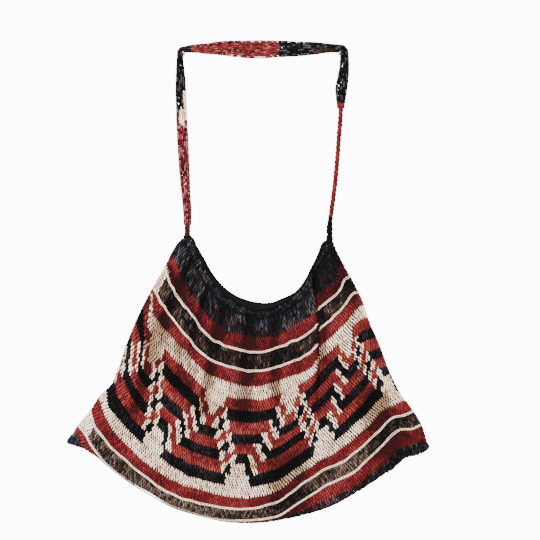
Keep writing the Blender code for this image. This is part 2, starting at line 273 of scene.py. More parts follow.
ROWS_HELD = 0.5              # and beside the rim and the seam, where it keeps level
ROWS_EASED = 2               # even rows over which that comes in
FINE = np.linspace(0.0, 1.0, 201)        # places across at which the rows are evened

for middle in LINE_ROWS:
    for side in (-1, 1):
        ROW_LINES[middle + side * LINE_HALF_ROW] = tuple(
            value + side * LINE_HALF for value in ROW_LINES[middle])
ROW_KEYS = np.array(sorted(ROW_LINES))


def rounded(stations, values, reach=3):
    """A table row's values made into a line without corners across the cloth. Each place is evened
    with reach places to either side."""
    line = np.interp(FINE, stations, values)
    soft = np.exp(-np.linspace(-1.6, 1.6, 2 * reach + 1) ** 2)
    before = 2 * line[0] - line[reach:0:-1]
    after = 2 * line[-1] - line[-2:-2 - reach:-1]
    return np.convolve(np.concatenate([before, line, after]), soft / soft.sum(), mode="valid")


def rows_from(first, last):
    """The table made even, with the stations outside first and last left out above the fold's
    last row."""
    lines = []
    for key in ROW_KEYS:
        part = slice(first, last) if key <= FOLD_LAST_ROW else slice(None)
        lines.append(rounded(STATIONS[part], ROW_LINES[key][part]))
    return np.array(lines)


LEFT_ROWS = rows_from(0, FIRST_BEYOND)
RIGHT_ROWS = rows_from(FIRST_BEYOND, len(STATIONS))


def read_rows(table, across, row):
    """Share down of rows at places across, read off one of the two evened tables."""
    place = np.clip(across, 0, 1) * (len(FINE) - 1)
    k = np.minimum(place.astype(int), len(FINE) - 2)
    part = place - k
    columns = table[:, k] * (1 - part) + table[:, k + 1] * part
    upper = np.clip(np.searchsorted(ROW_KEYS, row, side="right") - 1, 0, len(ROW_KEYS) - 2)
    share = (row - ROW_KEYS[upper]) / (ROW_KEYS[upper + 1] - ROW_KEYS[upper])
    which = np.arange(len(upper))
    return columns[upper, which] * (1 - share) + columns[upper + 1, which] * share


def front_rows(across, row):
    """Share down of a row on the front, by the table."""
    left = read_rows(LEFT_ROWS, across, row)
    right = read_rows(RIGHT_ROWS, across, row)
    blurred = smooth_step((left - FOLD_FROM) / FOLD_OUT)
    reach = FOLD_SHARP + (FOLD_BLURRED - FOLD_SHARP) * blurred
    beyond = smooth_step((across - FOLD_AT_RIM - FOLD_LEAN * left) / reach + 0.5)
    return left + (right - left) * beyond


def in_fold(around, row):
    """1 where the cloth goes under at the deep fold, and 0 away from it."""
    around = np.mod(around, 2.0)
    left = read_rows(LEFT_ROWS, np.clip(around, 0, 1), row)
    blurred = smooth_step((left - FOLD_FROM) / FOLD_OUT)
    away = (around - FOLD_AT_RIM - FOLD_LEAN * left) / FOLD_WIDTH
    return np.exp(-away ** 2) * (1 - blurred) * (around < 1)


def row_down(around, row):
    """Share down of a row anywhere round the pouch."""
    around = np.mod(np.asarray(around, float), 2.0)
    row = np.broadcast_to(np.asarray(row, float), around.shape).ravel()
    shape, around = around.shape, around.ravel()
    across = np.where(around < 1, around, 2 - around)
    front = front_rows(across, row)
    seam_row = np.full_like(row, ROW_KEYS[-1])
    like = np.full_like(across, BACK_LIKE)
    even = front_rows(like, row) * (2 - front_rows(across, seam_row)) / front_rows(like, seam_row)
    near_edge = 1 - smooth_step(np.minimum(across, 1 - across) / BACK_EDGE)
    back = even + (front - even) * near_edge
    return np.where(around < 1, front, back).reshape(shape)


def patches(around, row, cells_round, cells_down, seed):
    """Smooth, seeded 0 to 1 patches over the cloth, for uneven tension, dye lots and wear."""
    chance = np.random.default_rng(seed)
    grid = chance.random((cells_down + 2, cells_round))
    x = np.mod(around, 2) / 2 * cells_round
    y = np.clip(row, 0, LAST_ROW) / LAST_ROW * cells_down
    i, j = x.astype(int), y.astype(int)
    u, v = smooth_step(x - i), smooth_step(y - j)
    left, right = i % cells_round, (i + 1) % cells_round
    top = grid[j, left] * (1 - u) + grid[j, right] * u
    bottom = grid[j + 1, left] * (1 - u) + grid[j + 1, right] * u
    return top * (1 - v) + bottom * v


def row_frame(around, row):
    """cloth_frame along the rows, which wander a little where the tension changed."""
    around, row = np.broadcast_arrays(around, np.asarray(row, float))
    inside = np.minimum(row - ROWS_HELD, LAST_ROW - ROWS_HELD - row)
    inside = np.clip(inside / ROWS_EASED, 0, 1)
    wander = UNEVEN_ROWS * (patches(around, row, *WANDER_PATCHES) - 0.5)
    return cloth_frame(around, row_down(around, row + wander * inside))


# ==== Wool yarn ==================================================================================
# Hand-spun two-ply wool, dyed in small lots and a little felted with use. The eye gets matt
# strands with a soft halo at their edges, a slanting ply groove, and colour that wanders from
# stitch to stitch and over a hand's breadth.
MM = 0.001                   # m in a mm
PLY_LAY = 5.5                # mm of yarn for one full turn of its plies, coarser than real to show

# name: dark, usual and light shade of the dye
DYES = {
    "black_wool": ("#010101", "#070607", "#2b2429"),
    "charcoal_wool": ("#030303", "#161516", "#454346"),
    "navy_wool": ("#020303", "#0d0e16", "#2b2e3e"),
    "plum_wool": ("#040303", "#1a1216", "#493b43"),
    "crimson_wool": ("#200709", "#5c1519", "#7f2f2f"),
    "brick_red_wool": ("#300a0c", "#6a2022", "#8a3e35"),
    "rust_wool": ("#460e10", "#792a24", "#904b3b"),
    "cream_wool": ("#86684f", "#f0d2b6", "#fff0de"),
    "brown_wool": ("#030202", "#291c19", "#5f4b42"),
    "beige_wool": ("#221a15", "#473b33", "#756458"),
    "maroon_wool": ("#180306", "#59141e", "#88353b"),
    "pink_wool": ("#7a4343", "#c08a86", "#e3bfb8"),
}


def linear(code):
    """A colour for a shader, from its sRGB hex code."""
    parts = [int(code[k:k + 2], 16) / 255 for k in (1, 3, 5)]
    return tuple(c / 12.92 if c <= 0.04045 else ((c + 0.055) / 1.055) ** 2.4 for c in parts) + (1.0,)


def add_node(tree, kind, settings=(), links=()):
    """Adds one node. settings are (name or socket, value) pairs, and links (socket, source)."""
    made = tree.nodes.new(kind)
    for name, value in settings:
        if isinstance(name, str) and hasattr(made, name):
            setattr(made, name, value)
        else:
            made.inputs[name].default_value = value
    for socket, source in links:
        tree.links.new(source, made.inputs[socket])
    return made


def wool(name):
    """Spun wool in one dye."""
    dark, usual, light = (linear(code) for code in DYES[name])
    material = bpy.data.materials.new(name)
    material.use_nodes = True
    tree = material.node_tree
    shader = tree.nodes["Principled BSDF"]
    shader.inputs["Roughness"].default_value = 0.92
    shader.inputs["Specular IOR Level"].default_value = 0.03
    shader.inputs["Sheen Weight"].default_value = 0.03
    shader.inputs["Sheen Roughness"].default_value = 0.5
    place = add_node(tree, "ShaderNodeTexCoord")
    # dye that took unevenly, over some 30 mm
    lots = add_node(tree, "ShaderNodeTexNoise", [("Scale", 34.0), ("Detail", 3.0)],
                    [("Vector", place.outputs["Object"])])
    uneven = add_node(tree, "ShaderNodeMapRange", [("To Min", -0.28), ("To Max", 0.28)],
                      [("Value", lots.outputs["Fac"])])
    # each stitch has its own depth of colour, which also carries the shade painted into folds and
    # sheets
    stitch = add_node(tree, "ShaderNodeAttribute", [("attribute_name", "tone")])
    depth = add_node(tree, "ShaderNodeMath", [("operation", "ADD")],
                     [(0, uneven.outputs["Result"]), (1, stitch.outputs["Fac"])])
    shade = add_node(tree, "ShaderNodeValToRGB", (), [("Fac", depth.outputs[0])])
    ramp = shade.color_ramp
    ramp.elements[0].position, ramp.elements[0].color = 0.0, dark
    ramp.elements[1].position, ramp.elements[1].color = 1.0, light
    middle = ramp.elements.new(0.5)
    middle.color = usual
    # fibres a few tenths of a millimetre thick
    fibres = add_node(tree, "ShaderNodeTexNoise", [("Scale", 1900.0), ("Detail", 2.0)],
                      [("Vector", place.outputs["Object"])])
    fleck = add_node(tree, "ShaderNodeMapRange", [("To Min", 0.72), ("To Max", 1.28)],
                     [("Value", fibres.outputs["Fac"])])
    tint = add_node(tree, "ShaderNodeVectorMath", [("operation", "SCALE")],
                    [("Vector", shade.outputs["Color"]), ("Scale", fleck.outputs["Result"])])
    tree.links.new(tint.outputs["Vector"], shader.inputs["Base Color"])
    # the groove between the two plies winds round the strand
    strand = add_node(tree, "ShaderNodeUVMap", [("uv_map", "yarn")])
    parts = add_node(tree, "ShaderNodeSeparateXYZ", (), [("Vector", strand.outputs["UV"])])
    turn = add_node(tree, "ShaderNodeMath", [("operation", "MULTIPLY_ADD"), (1, 2.0)],
                    [(0, parts.outputs["X"]), (2, parts.outputs["Y"])])
    angle = add_node(tree, "ShaderNodeMath", [("operation", "MULTIPLY"), (1, 2 * math.pi)],
                     [(0, turn.outputs[0])])
    ply = add_node(tree, "ShaderNodeMath", [("operation", "SINE")], [(0, angle.outputs[0])])
    height = add_node(tree, "ShaderNodeMath", [("operation", "MULTIPLY_ADD"), (1, 0.35)],
                      [(0, ply.outputs[0]), (2, fibres.outputs["Fac"])])
    bump = add_node(tree, "ShaderNodeBump", [("Strength", 0.7), ("Distance", 0.0006)],
                    [("Height", height.outputs[0])])
    tree.links.new(bump.outputs["Normal"], shader.inputs["Normal"])
    return material


WOOLS = {name: wool(name) for name in DYES}
WOOL_ORDER = list(DYES)
STRAND_SIDES = 5             # a strand is a tube of five sides
TONE_SHIFT = 7               # turns of ply by which strands of the palest and darkest tone differ


def strand_rings(centres, outs, radii, sides=STRAND_SIDES):
    """Rings of points round strands. centres and outs are (strands, rings, 3), radii the same
    without the 3. The result is (strands, rings, sides, 3)."""
    run = np.gradient(centres, axis=1)
    run = run / np.linalg.norm(run, axis=-1, keepdims=True)
    wide = np.cross(run, outs)
    wide = wide / np.linalg.norm(wide, axis=-1, keepdims=True)
    high = np.cross(wide, run)
    turn = 2 * math.pi * np.arange(sides) / sides + math.pi / 2
    ring = wide[:, :, None] * np.cos(turn)[None, None, :, None]
    ring = ring + high[:, :, None] * np.sin(turn)[None, None, :, None]
    return centres[:, :, None] + ring * radii[:, :, None, None]


def stitch_template(rings, sides=STRAND_SIDES):
    """Faces and their places on the strand, as (side, ring) pairs, for one closed spindle."""
    faces, places = [], []
    last = 1 + (rings - 2) * sides
    for s in range(sides):
        n = (s + 1) % sides
        faces.append((0, 1 + s, 1 + n))
        places.append(((s + 0.5, 0), (s, 1), (s + 1, 1)))
        for k in range(rings - 3):
            low, high = 1 + k * sides, 1 + (k + 1) * sides
            faces.append((low + s, high + s, high + n, low + n))
            places.append(((s, k + 1), (s, k + 2), (s + 1, k + 2), (s + 1, k + 1)))
        low = 1 + (rings - 3) * sides
        faces.append((low + s, last, low + n))
        places.append(((s, rings - 2), (s + 0.5, rings - 1), (s + 1, rings - 2)))
    return faces, places


def add_yarn(name, points, faces, uv, tones, dyes):
    """A mesh piece in wool. points are in mm, uv and dyes run with the faces' corners and faces."""
    mesh = bpy.data.meshes.new(name)
    mesh.from_pydata((points * MM).tolist(), [], faces)
    mesh.uv_layers.new(name="yarn").data.foreach_set("uv", uv.astype(np.float32).ravel())
    tone = mesh.attributes.new("tone", "FLOAT", "POINT")
    tone.data.foreach_set("value", tones.astype(np.float32))
    used = sorted(set(dyes.tolist()))
    for dye in used:
        mesh.materials.append(WOOLS[WOOL_ORDER[dye]])
    mesh.polygons.foreach_set("material_index", np.searchsorted(used, dyes).astype(np.int32))
    mesh.polygons.foreach_set("use_smooth", np.ones(len(mesh.polygons), bool))
    mesh.update()
    piece = bpy.data.objects.new(name, mesh)
    bpy.context.scene.collection.objects.link(piece)
    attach(piece, "root")
    return piece


def worked_piece(name, centres, outs, radii, dyes, tones):
    """One mesh of many spindles, each a row of the arrays, in mm. Their ends close to a point.
    dyes are places in WOOL_ORDER, and tones 0 for a dye's dark shade to 1 for its light one."""
    count, rings = radii.shape
    faces, places = stitch_template(rings)
    body = strand_rings(centres, outs, radii)[:, 1:-1].reshape(count, -1, 3)
    points = np.concatenate([centres[:, :1], body, centres[:, -1:]], axis=1)
    per_stitch = points.shape[1]
    all_faces = []
    for start in range(0, per_stitch * count, per_stitch):
        all_faces.extend([tuple(start + corner for corner in face) for face in faces])
    steps = np.linalg.norm(np.diff(centres, axis=1), axis=2)
    run = np.concatenate([np.zeros((count, 1)), np.cumsum(steps, axis=1)], axis=1)
    run = run / PLY_LAY + tones[:, None] * TONE_SHIFT
    sides = np.array([corner[0] / STRAND_SIDES for face in places for corner in face])
    ring_of = np.array([corner[1] for face in places for corner in face])
    uv = np.stack([np.broadcast_to(sides, (count, len(sides))), run[:, ring_of]], axis=2)
    return add_yarn(name, points.reshape(-1, 3), all_faces, uv, np.repeat(tones, per_stitch),
                    np.repeat(dyes, len(faces)))


def twisted(centres, outs, strands, radius, lay, start=0.0):
    """The strands of a laid cord: (strand, point, 3) centres and outs, along one line in mm."""
    run = np.gradient(centres, axis=0)
    run = run / np.linalg.norm(run, axis=1, keepdims=True)
    wide = np.cross(run, outs)
    wide = wide / np.linalg.norm(wide, axis=1, keepdims=True)
    high = np.cross(wide, run)
    length = np.concatenate([[0], np.cumsum(np.linalg.norm(np.diff(centres, axis=0), axis=1))])
    found, faced = [], []
    for k in range(strands):
        angle = 2 * math.pi * (length / lay + k / strands + start)[:, None]
        away = wide * np.cos(angle) + high * np.sin(angle)
        found.append(centres + away * np.asarray(radius).reshape(-1, 1))
        faced.append(high)
    return np.array(found), np.array(faced)


# ==== The looped rows ============================================================================
# Hand-looped wool, in which each stitch shows as two upright strands. A strand's lower end lies
# over the row below and its upper end behind the row above, and a dark slit is left between
# neighbours in the middle of a row. The pattern is counted over 150 stitches round.
STITCHES_ROUND = 150
STRAND_SPACING = (3.6, 4.15)     # mm between strands, square to them, at the rim and the bottom
LEG_STATIONS = np.array([0.0, 0.17, 0.5, 0.83, 1.0])      # shares of a leg's length
LEG_HEIGHT = np.array([-2.3, -1.3, -0.75, -0.55, -1.3])   # mm out of the cloth's outside
LEG_TAPER = np.array([0.0, 0.86, 1.0, 0.9, 0.0])          # shares of its full radius
LEG_LEAN = 0.15              # of a leg's width, from its upper to its lower end
ROW_SHIFT = 0.5              # of a leg's width, from each row to the next
PALE_LEG_FILL = 0.28         # the cream yarn is spun finer
LEG_FILL = 0.34              # radius, as a share of the distance between legs
ROW_OVERLAP = 0.24           # of a row's height, above and below
PALE_OVERLAP = 0.30
LEAN_RANGE = (0.7, 1.3)      # times its usual lean and its usual radius
GIRTH_RANGE = (0.85, 1.15)
SIDE_JOG = 0.06              # of a leg's width that it strays sideways
END_JOG = 0.05               # and of a row's height, up and down
FIRST_SHIFT = 0.25           # of a leg's width, of the very first row
HIGHEST_END = 0.03           # even rows between which all legs end
LOWEST_END = 42.2
PLACES_MEASURED = 1201       # places round at which a row's length is measured
WOOL_SEEDS = 50              # added to a piece's seed for the choice of its wools

# the zigzag is worked on eight stripes, of two even rows each
ZIGZAG_TOP = 14
ZIGZAG_BOTTOM = 30
STRIPE = 2
STRIPE_WOOLS = ("brick_red_wool", "black_wool")
STRIPES = [("stripe", 4, top, top + STRIPE, STRIPE_WOOLS[(top - ZIGZAG_TOP) // STRIPE % 2])
           for top in range(ZIGZAG_TOP, ZIGZAG_BOTTOM, STRIPE)]
# band: rows of stitches in it, first and last even row, wool
BANDS = [
    ("mouth", 8, 0.0, 4.0, "charcoal_wool"),
    ("upper crimson", 5, 4.0, 6.3, "crimson_wool"),
    ("line 1", 1, 6.3, 6.7, "cream_wool"),
    ("upper brown", 5, 6.7, 9.3, "brown_wool"),
    ("line 2", 1, 9.3, 9.7, "cream_wool"),
    ("upper red", 5, 9.7, 12.0, "crimson_wool"),
    ("upper cream", 4, 12.0, 14.0, "cream_wool"),
    *STRIPES,
    ("lower cream", 4, 30.0, 32.0, "cream_wool"),
    ("lower red", 5, 32.0, 34.3, "crimson_wool"),
    ("line 3", 1, 34.3, 34.7, "cream_wool"),
    ("lower brown", 5, 34.7, 37.3, "brown_wool"),
    ("line 4", 1, 37.3, 37.7, "cream_wool"),
    ("hem red", 5, 37.7, 40.0, "crimson_wool"),
    ("hem", 4, 40.0, 42.0, "charcoal_wool"),
]

# eight cream tips hang from the upper cream band and eight cream peaks stand on the lower one.
# From each tip a ladder of small blocks runs down to either side, edged in cream. A block is black
# in a red stripe and red in a black one. Counts are stitches from a tip.
MOTIF = STITCHES_ROUND / 8
FIRST_TIP = 9.3              # stitches from the left edge
TIP_HALF_WIDTH = 2.5         # above the ladders' start
LADDER_ROW = 17.0            # the row at which the offsets below are counted
LADDER_UNEVEN = 0.13         # stitches by which a ladder's edges wander
# stitches from the tip, stitches further in each even row from stripe to stripe, stitches in each
# even row within a stripe, half a block's width, the width of the cream beside it
LADDERS = [
    (1.75, 0.35, -0.30, 0.72, 1.0),
    (-2.0, -0.76, 0.30, 0.66, 1.1),
]
PEAK_OFFSET = 7.0            # a peak's middle, from the tip at its left
PEAK_HALF_WIDTHS = (1.5, 2.4)            # in the two stripes above the lower cream band


def from_motif(column, middle):
    """Stitches from a column to the nearest repeat of one that stands at middle."""
    return (column - middle + MOTIF / 2) % MOTIF - MOTIF / 2


def zigzag_colour(column, row, stripe):
    """The wool of one strand in the zigzag. column counts stitches round the pouch."""
    other = STRIPE_WOOLS[stripe == STRIPE_WOOLS[0]]
    from_tip = from_motif(column, FIRST_TIP)
    from_peak = abs(from_motif(column, FIRST_TIP + PEAK_OFFSET))
    if row < ZIGZAG_TOP + STRIPE:
        return "cream_wool" if abs(from_tip) < TIP_HALF_WIDTH else stripe
    if row >= ZIGZAG_BOTTOM - STRIPE:
        return "cream_wool" if from_peak < PEAK_HALF_WIDTHS[1] else stripe
    if row >= ZIGZAG_BOTTOM - 2 * STRIPE and from_peak < PEAK_HALF_WIDTHS[0]:
        return "cream_wool"
    stripe_middle = STRIPE * math.floor(row / STRIPE) + STRIPE / 2
    for start, per_row, lean, half_block, edge in LADDERS:
        middle = start + per_row * (stripe_middle - LADDER_ROW) + lean * (row - stripe_middle)
        offset = abs(from_motif(from_tip, middle))
        if offset < half_block:
            return other
        if offset < half_block + edge:
            return "cream_wool"
    if row < ZIGZAG_TOP + 2 * STRIPE and abs(from_tip) < TIP_HALF_WIDTH:
        return "cream_wool"
    return stripe


CREASED = 6.0                # mm of depth at which a fold's painted shade is as dark as it gets


def painted_fold_shade(around, down):
    """1 in the bottom of a deep fold and 0 out of it: how much shade is painted into the strands
    there.
    """
    across = np.where(around < 1, around, 2 - around)
    depth = fold_depth(np.mod(around, 2) < 1, across, down)
    return np.clip(depth / CREASED, 0.0, 1.0)


DARK_WOOLS = ("charcoal_wool", "navy_wool", "plum_wool", "brown_wool")   # of mixed shades
# a strand's tone is 0 for its dye's dark shade and 1 for the light one. How much painted shade
# lowers it in creases and in the deep fold, how much wear changes it, and how far strands differ
USUAL_TONE = 0.5
WEAR_TONE = 0.45
CREASE_PAINTED_SHADE = 1.25
FOLD_PAINTED_SHADE = 1.2
TONE_SPREAD = 0.13
MIXED_SPREAD = 1.9           # times that in yarn spun from mixed shades
WEAR_PATCHES = (46, 30, 7)               # patches round, patches down and their seed
RED_LOTS = (40, 26, 21)
DARK_LOTS = (34, 20, 22)
DARK_LOTS_FLAT = 1.5         # times flatter than the red ones
LOT_BLUR = (0.06, 0.05)      # how far strands stray out of a red lot and a dark one
# even rows and places round between which the yarn has darkened or faded, or where shade is painted
# in, and by how much
AGED_AND_SHADED = [
    # painted shadow along the front's first row, under the ridge below the rim cord
    (0.8, 1.3, 0.0, 1.0, -0.4),
    (0.0, 4.0, 0.8, 1.0, -0.25),
    (4.0, 6.3, 0.0, 2.0, -0.14),
    (4.0, 6.3, 0.0, 0.35, -0.12),
    (4.0, 6.3, 0.8, 1.0, -0.2),
    (6.7, 9.3, 0.0, 2.0, -0.16),
    # painted shade over the left end of the upper cream band and the top of the zigzag
    (12.0, 17.5, 0.0, 0.30, -0.36),
    (34.7, 37.3, 0.0, 2.0, 0.12),
    (37.7, 40.0, 0.58, 0.80, 0.15),
]
# where a yarn begins or is carried along a side: even rows, places round, wool
SIDE_YARNS = [(6.0, 9.6, 0.0, 0.045, "cream_wool"), (6.0, 9.6, 1.97, 2.0, "cream_wool"),
              (34.7, 37.3, 0.0, 0.056, "cream_wool"), (34.7, 37.3, 1.97, 2.0, "cream_wool"),
              (27.4, 30.6, 0.984, 1.008, "black_wool")]
# how high a dye-lot patch has to be for the red to turn rusty, crimson to turn brick red, and
# charcoal to turn plum or navy
RUST_FROM = 0.67
BRICK_FROM = RUST_FROM + 0.12
PLUM_FROM = 0.56
NAVY_FROM = 0.66
NAVY_LAST_ROW = 1.8          # and the even rows to and from which charcoal does so
PLUM_FIRST_ROW = 1.4
BEIGE_SHARES = (0.025, 0.18)             # of the strands of the upper and the lower brown band
HEM_WOOLS = (("charcoal_wool",) * 8 + ("plum_wool",) * 3
             + ("brown_wool", "maroon_wool", "beige_wool"))


def leg_dyes(around, row, band_dye, seed):
    """Each strand's wool, as a place in WOOL_ORDER."""
    chance = np.random.default_rng(seed)
    count = len(around)
    red_lot = patches(around, row, *RED_LOTS) + chance.normal(0, LOT_BLUR[0], count)
    dark_lot = patches(around, row * DARK_LOTS_FLAT, *DARK_LOTS)
    dark_lot = dark_lot + chance.normal(0, LOT_BLUR[1], count)
    fleck = chance.random(count)
    stray = chance.normal(0, LADDER_UNEVEN, count)
    found = []
    for k, dye in enumerate(band_dye):
        place, level = around[k], row[k]
        if ZIGZAG_TOP <= level < ZIGZAG_BOTTOM:
            dye = zigzag_colour(place / 2 * STITCHES_ROUND + stray[k], level, dye)
        for first, last, start, end, side_wool in SIDE_YARNS:
            if first <= level < last and start <= place < end:
                dye = side_wool
        if dye == "brick_red_wool" and red_lot[k] > RUST_FROM:
            dye = "rust_wool"
        if dye == "crimson_wool" and red_lot[k] > BRICK_FROM:
            dye = "brick_red_wool"
        if dye == "brown_wool" and fleck[k] > 1 - BEIGE_SHARES[level > ZIGZAG_TOP]:
            dye = "beige_wool"
        if dye == "charcoal_wool" and level > ZIGZAG_BOTTOM:
            dye = HEM_WOOLS[int(fleck[k] * len(HEM_WOOLS))]
        if dye == "charcoal_wool" and level < ZIGZAG_TOP:
            if dark_lot[k] > NAVY_FROM and level < NAVY_LAST_ROW:
                dye = "navy_wool"
            elif dark_lot[k] > PLUM_FROM and level > PLUM_FIRST_ROW:
                dye = "plum_wool"
        found.append(WOOL_ORDER.index(dye))
    return np.array(found)


def strand_places(row, shift, step=0.01):
    """Places round the pouch, evenly far apart along a row, and their steps round and in mm."""
    spacing = np.interp(row, (0, LAST_ROW), STRAND_SPACING)
    fine = np.linspace(0.0, 2.0, PLACES_MEASURED)
    down = row_down(fine, row)
    _, _, sideways = cloth_frame(fine, down)
    downwards = cloth_point(fine, down + step) - cloth_point(fine, down - step)
    downwards = downwards / np.linalg.norm(downwards, axis=1, keepdims=True)
    apart = np.linalg.norm(np.cross(sideways, downwards), axis=1)
    run = np.concatenate([[0.0], np.cumsum((apart[1:] + apart[:-1]) / 2 * np.diff(fine))])
    count = round(run[-1] / spacing)
    places = np.interp((np.arange(count) + shift) / count * run[-1], run, fine)
    return places, spacing / np.interp(places, fine, apart), np.full(count, spacing)


def looped_rows(name, first, last, seed):
    """The stitches of all bands between two even rows, right round the pouch."""
    chance = np.random.default_rng(seed)
    tops, heights, dyes, found, steps, spaces = [], [], [], [], [], []
    worked = 0
    for _, rows, top, bottom, dye in BANDS:
        if not first <= top < last:
            worked += rows
            continue
        height = (bottom - top) / rows
        for k in range(rows):
            worked += 1
            shift = FIRST_SHIFT + ROW_SHIFT * worked % 1
            places, step, space = strand_places((top + bottom) / 2, shift)
            found.append(places)
            steps.append(step)
            spaces.append(space)
            tops.append(np.full(len(places), top + k * height))
            heights.append(np.full(len(places), height))
            dyes.extend([dye] * len(places))
    tops, heights = np.concatenate(tops), np.concatenate(heights)
    around, steps = np.concatenate(found), np.concatenate(steps)[:, None]
    spaces = np.concatenate(spaces)
    middle = tops + heights / 2
    count = len(tops)
    leg_wools = leg_dyes(around, middle, dyes, seed + WOOL_SEEDS)
    pale = leg_wools == WOOL_ORDER.index("cream_wool")
    dark = np.isin(leg_wools, [WOOL_ORDER.index(name) for name in DARK_WOOLS])

    lean = LEG_LEAN * chance.uniform(*LEAN_RANGE, (count, 1)) * (LEG_STATIONS - 0.5)
    jog = chance.normal(0, SIDE_JOG, (count, 1))
    overlap = np.where(pale, PALE_OVERLAP, ROW_OVERLAP)[:, None]
    reach = LEG_STATIONS * (1 + 2 * overlap) - overlap + chance.normal(0, END_JOG, (count, 1))
    rows = np.clip(tops[:, None] + heights[:, None] * reach, HIGHEST_END, LOWEST_END)
    points, outs, _ = row_frame(around[:, None] + (lean + jog) * steps, rows)
    centres = points + outs * LEG_HEIGHT[None, :, None]
    fill = np.where(pale, PALE_LEG_FILL, LEG_FILL) * chance.uniform(*GIRTH_RANGE, count)
    radii = (spaces * fill)[:, None] * LEG_TAPER

    worn = patches(around, middle, *WEAR_PATCHES)
    # painted shade: strands lying in the creases are made darker
    crease_painted_shade = painted_fold_shade(around, row_down(around, middle))
    tones = USUAL_TONE + WEAR_TONE * (worn - 0.5) - CREASE_PAINTED_SHADE * crease_painted_shade
    # painted shadow: strands are made darker where the cloth goes under at the deep fold
    tones = tones - FOLD_PAINTED_SHADE * in_fold(around, middle)
    for first_row, last_row, first_around, last_around, change in AGED_AND_SHADED:
        tones = tones + change * ((middle > first_row) & (middle < last_row)
                                  & (around > first_around) & (around < last_around))
    tones = tones + chance.normal(0, TONE_SPREAD, count) * np.where(dark, MIXED_SPREAD, 1.0)
    piece = worked_piece(name, centres, outs, radii, leg_wools, np.clip(tones, 0.0, 1.0))
    return piece


# piece: even rows between which its bands start, and its seed
LOOP_PIECES = [
    ("loops_mouth", 0, 6.5, 1),
    ("loops_upper", 6.5, 13.9, 2),
    ("loops_zigzag_upper", 13.9, 19.9, 3),
    ("loops_zigzag_middle", 19.9, 25.9, 4),
    ("loops_zigzag_lower", 25.9, 31.9, 5),
    ("loops_lower", 31.9, 37.6, 6),
    ("loops_hem", 37.6, LAST_ROW, 8),
]
loop_pieces = [looped_rows(name, first, last, seed) for name, first, last, seed in LOOP_PIECES]


# ==== The cream lines ============================================================================
# Four thin lines part the broad bands. Each is a row of cream stitches with a cord of the same
# yarn laid along its top and its bottom, so it stands a little proud of the bands.
LINE_CORD_RADIUS = 0.5       # mm
LINE_CORD_POINTS = 500
LINE_GIRTHS = (0.75, 1.2)    # times that radius
LINE_TONES = (0.25, 0.9)
CORD_DIP = 3.5               # mm that a cord lies deeper in the deep fold
LINE_LIFT = 0.25             # mm that a cord stands out of the surface


def tube_faces(points, sides, start, closed):
    """Faces of one tube and their places along it. An open tube has a point at each end."""
    faces, places = [], []
    last = points if closed else points - 1
    for k in range(last):
        n = (k + 1) % points
        for s in range(sides):
            t = (s + 1) % sides
            faces.append((start + k * sides + s, start + n * sides + s,
                          start + n * sides + t, start + k * sides + t))
            places.append(((s, k), (s, k + 1), (s + 1, k + 1), (s + 1, k)))
    if not closed:
        first, end = start + points * sides, start + points * sides + 1
        low = start + (points - 1) * sides
        for s in range(sides):
            t = (s + 1) % sides
            faces.append((first, start + s, start + t))
            places.append(((s + 0.5, 0), (s, 0), (s + 1, 0)))
            faces.append((low + s, end, low + t))
            places.append(((s, points - 1), (s + 0.5, points - 1), (s + 1, points - 1)))
    return faces, places


def cord_piece(name, cords, sides=STRAND_SIDES):
    """One mesh of yarn tubes. cords are (centres, outs, radii, dye, tone, closed) in mm."""
    points, faces, uvs, tones, dyes = [], [], [], [], []
    start = 0
    for centres, outs, radii, dye, tone, closed in cords:
        count = len(centres)
        widths = np.broadcast_to(np.asarray(radii, float), (count,))
        if closed:
            lapped = [np.concatenate([part[-1:], part, part[:1]])[None]
                      for part in (centres, outs, widths)]
            body = strand_rings(*lapped, sides)[0, 1:-1].reshape(-1, 3)
        else:
            # each end comes to a point half a step further out
            rings = strand_rings(centres[None], outs[None], widths[None], sides)[0]
            ends = np.array([centres[0] * 2 - centres[1], centres[-1] * 2 - centres[-2]])
            ends = np.array([centres[0], centres[-1]]) * 0.5 + ends * 0.5
            body = np.concatenate([rings.reshape(-1, 3), ends])
        made, places = tube_faces(count, sides, start, closed)
        run = np.concatenate([[0], np.cumsum(np.linalg.norm(np.diff(centres, axis=0), axis=1))])
        run = np.append(run, 2 * run[-1] - run[-2]) / PLY_LAY
        uvs.append(np.array([(side / sides, run[ring]) for face in places for side, ring in face]))
        points.append(body)
        faces.extend(made)
        tones.append(np.broadcast_to(np.asarray(tone, float).reshape(-1, 1),
                                     (count, sides)).ravel())
        if not closed:
            tones.append(np.array([tones[-1][0], tones[-1][-1]]))
        dyes.append(np.full(len(made), WOOL_ORDER.index(dye)))
        start += len(body)
    return add_yarn(name, np.concatenate(points), faces, np.concatenate(uvs),
                    np.concatenate(tones), np.concatenate(dyes))


def cloth_cord(row, count, lift):
    """A closed cord's centres and outward directions along a row of the pouch, in mm. It goes
    under with the cloth at the deep fold."""
    around = np.arange(count) * 2 / count
    rows = np.full(count, float(row))
    points, outs, _ = row_frame(around, rows)
    heights = lift - CORD_DIP * in_fold(around, rows)
    return points + outs * heights[:, None], outs


line_cords = []
line_chance = np.random.default_rng(17)
for middle in LINE_ROWS:
    for side in (-1, 1):
        centres, outs = cloth_cord(middle + side * LINE_HALF_ROW, LINE_CORD_POINTS, LINE_LIFT)
        radii = LINE_CORD_RADIUS * line_chance.uniform(*LINE_GIRTHS, LINE_CORD_POINTS)
        tones = line_chance.uniform(*LINE_TONES, LINE_CORD_POINTS)
        line_cords.append((centres, outs, radii, "cream_wool", tones, True))
cream_lines = cord_piece("cream_lines", line_cords)


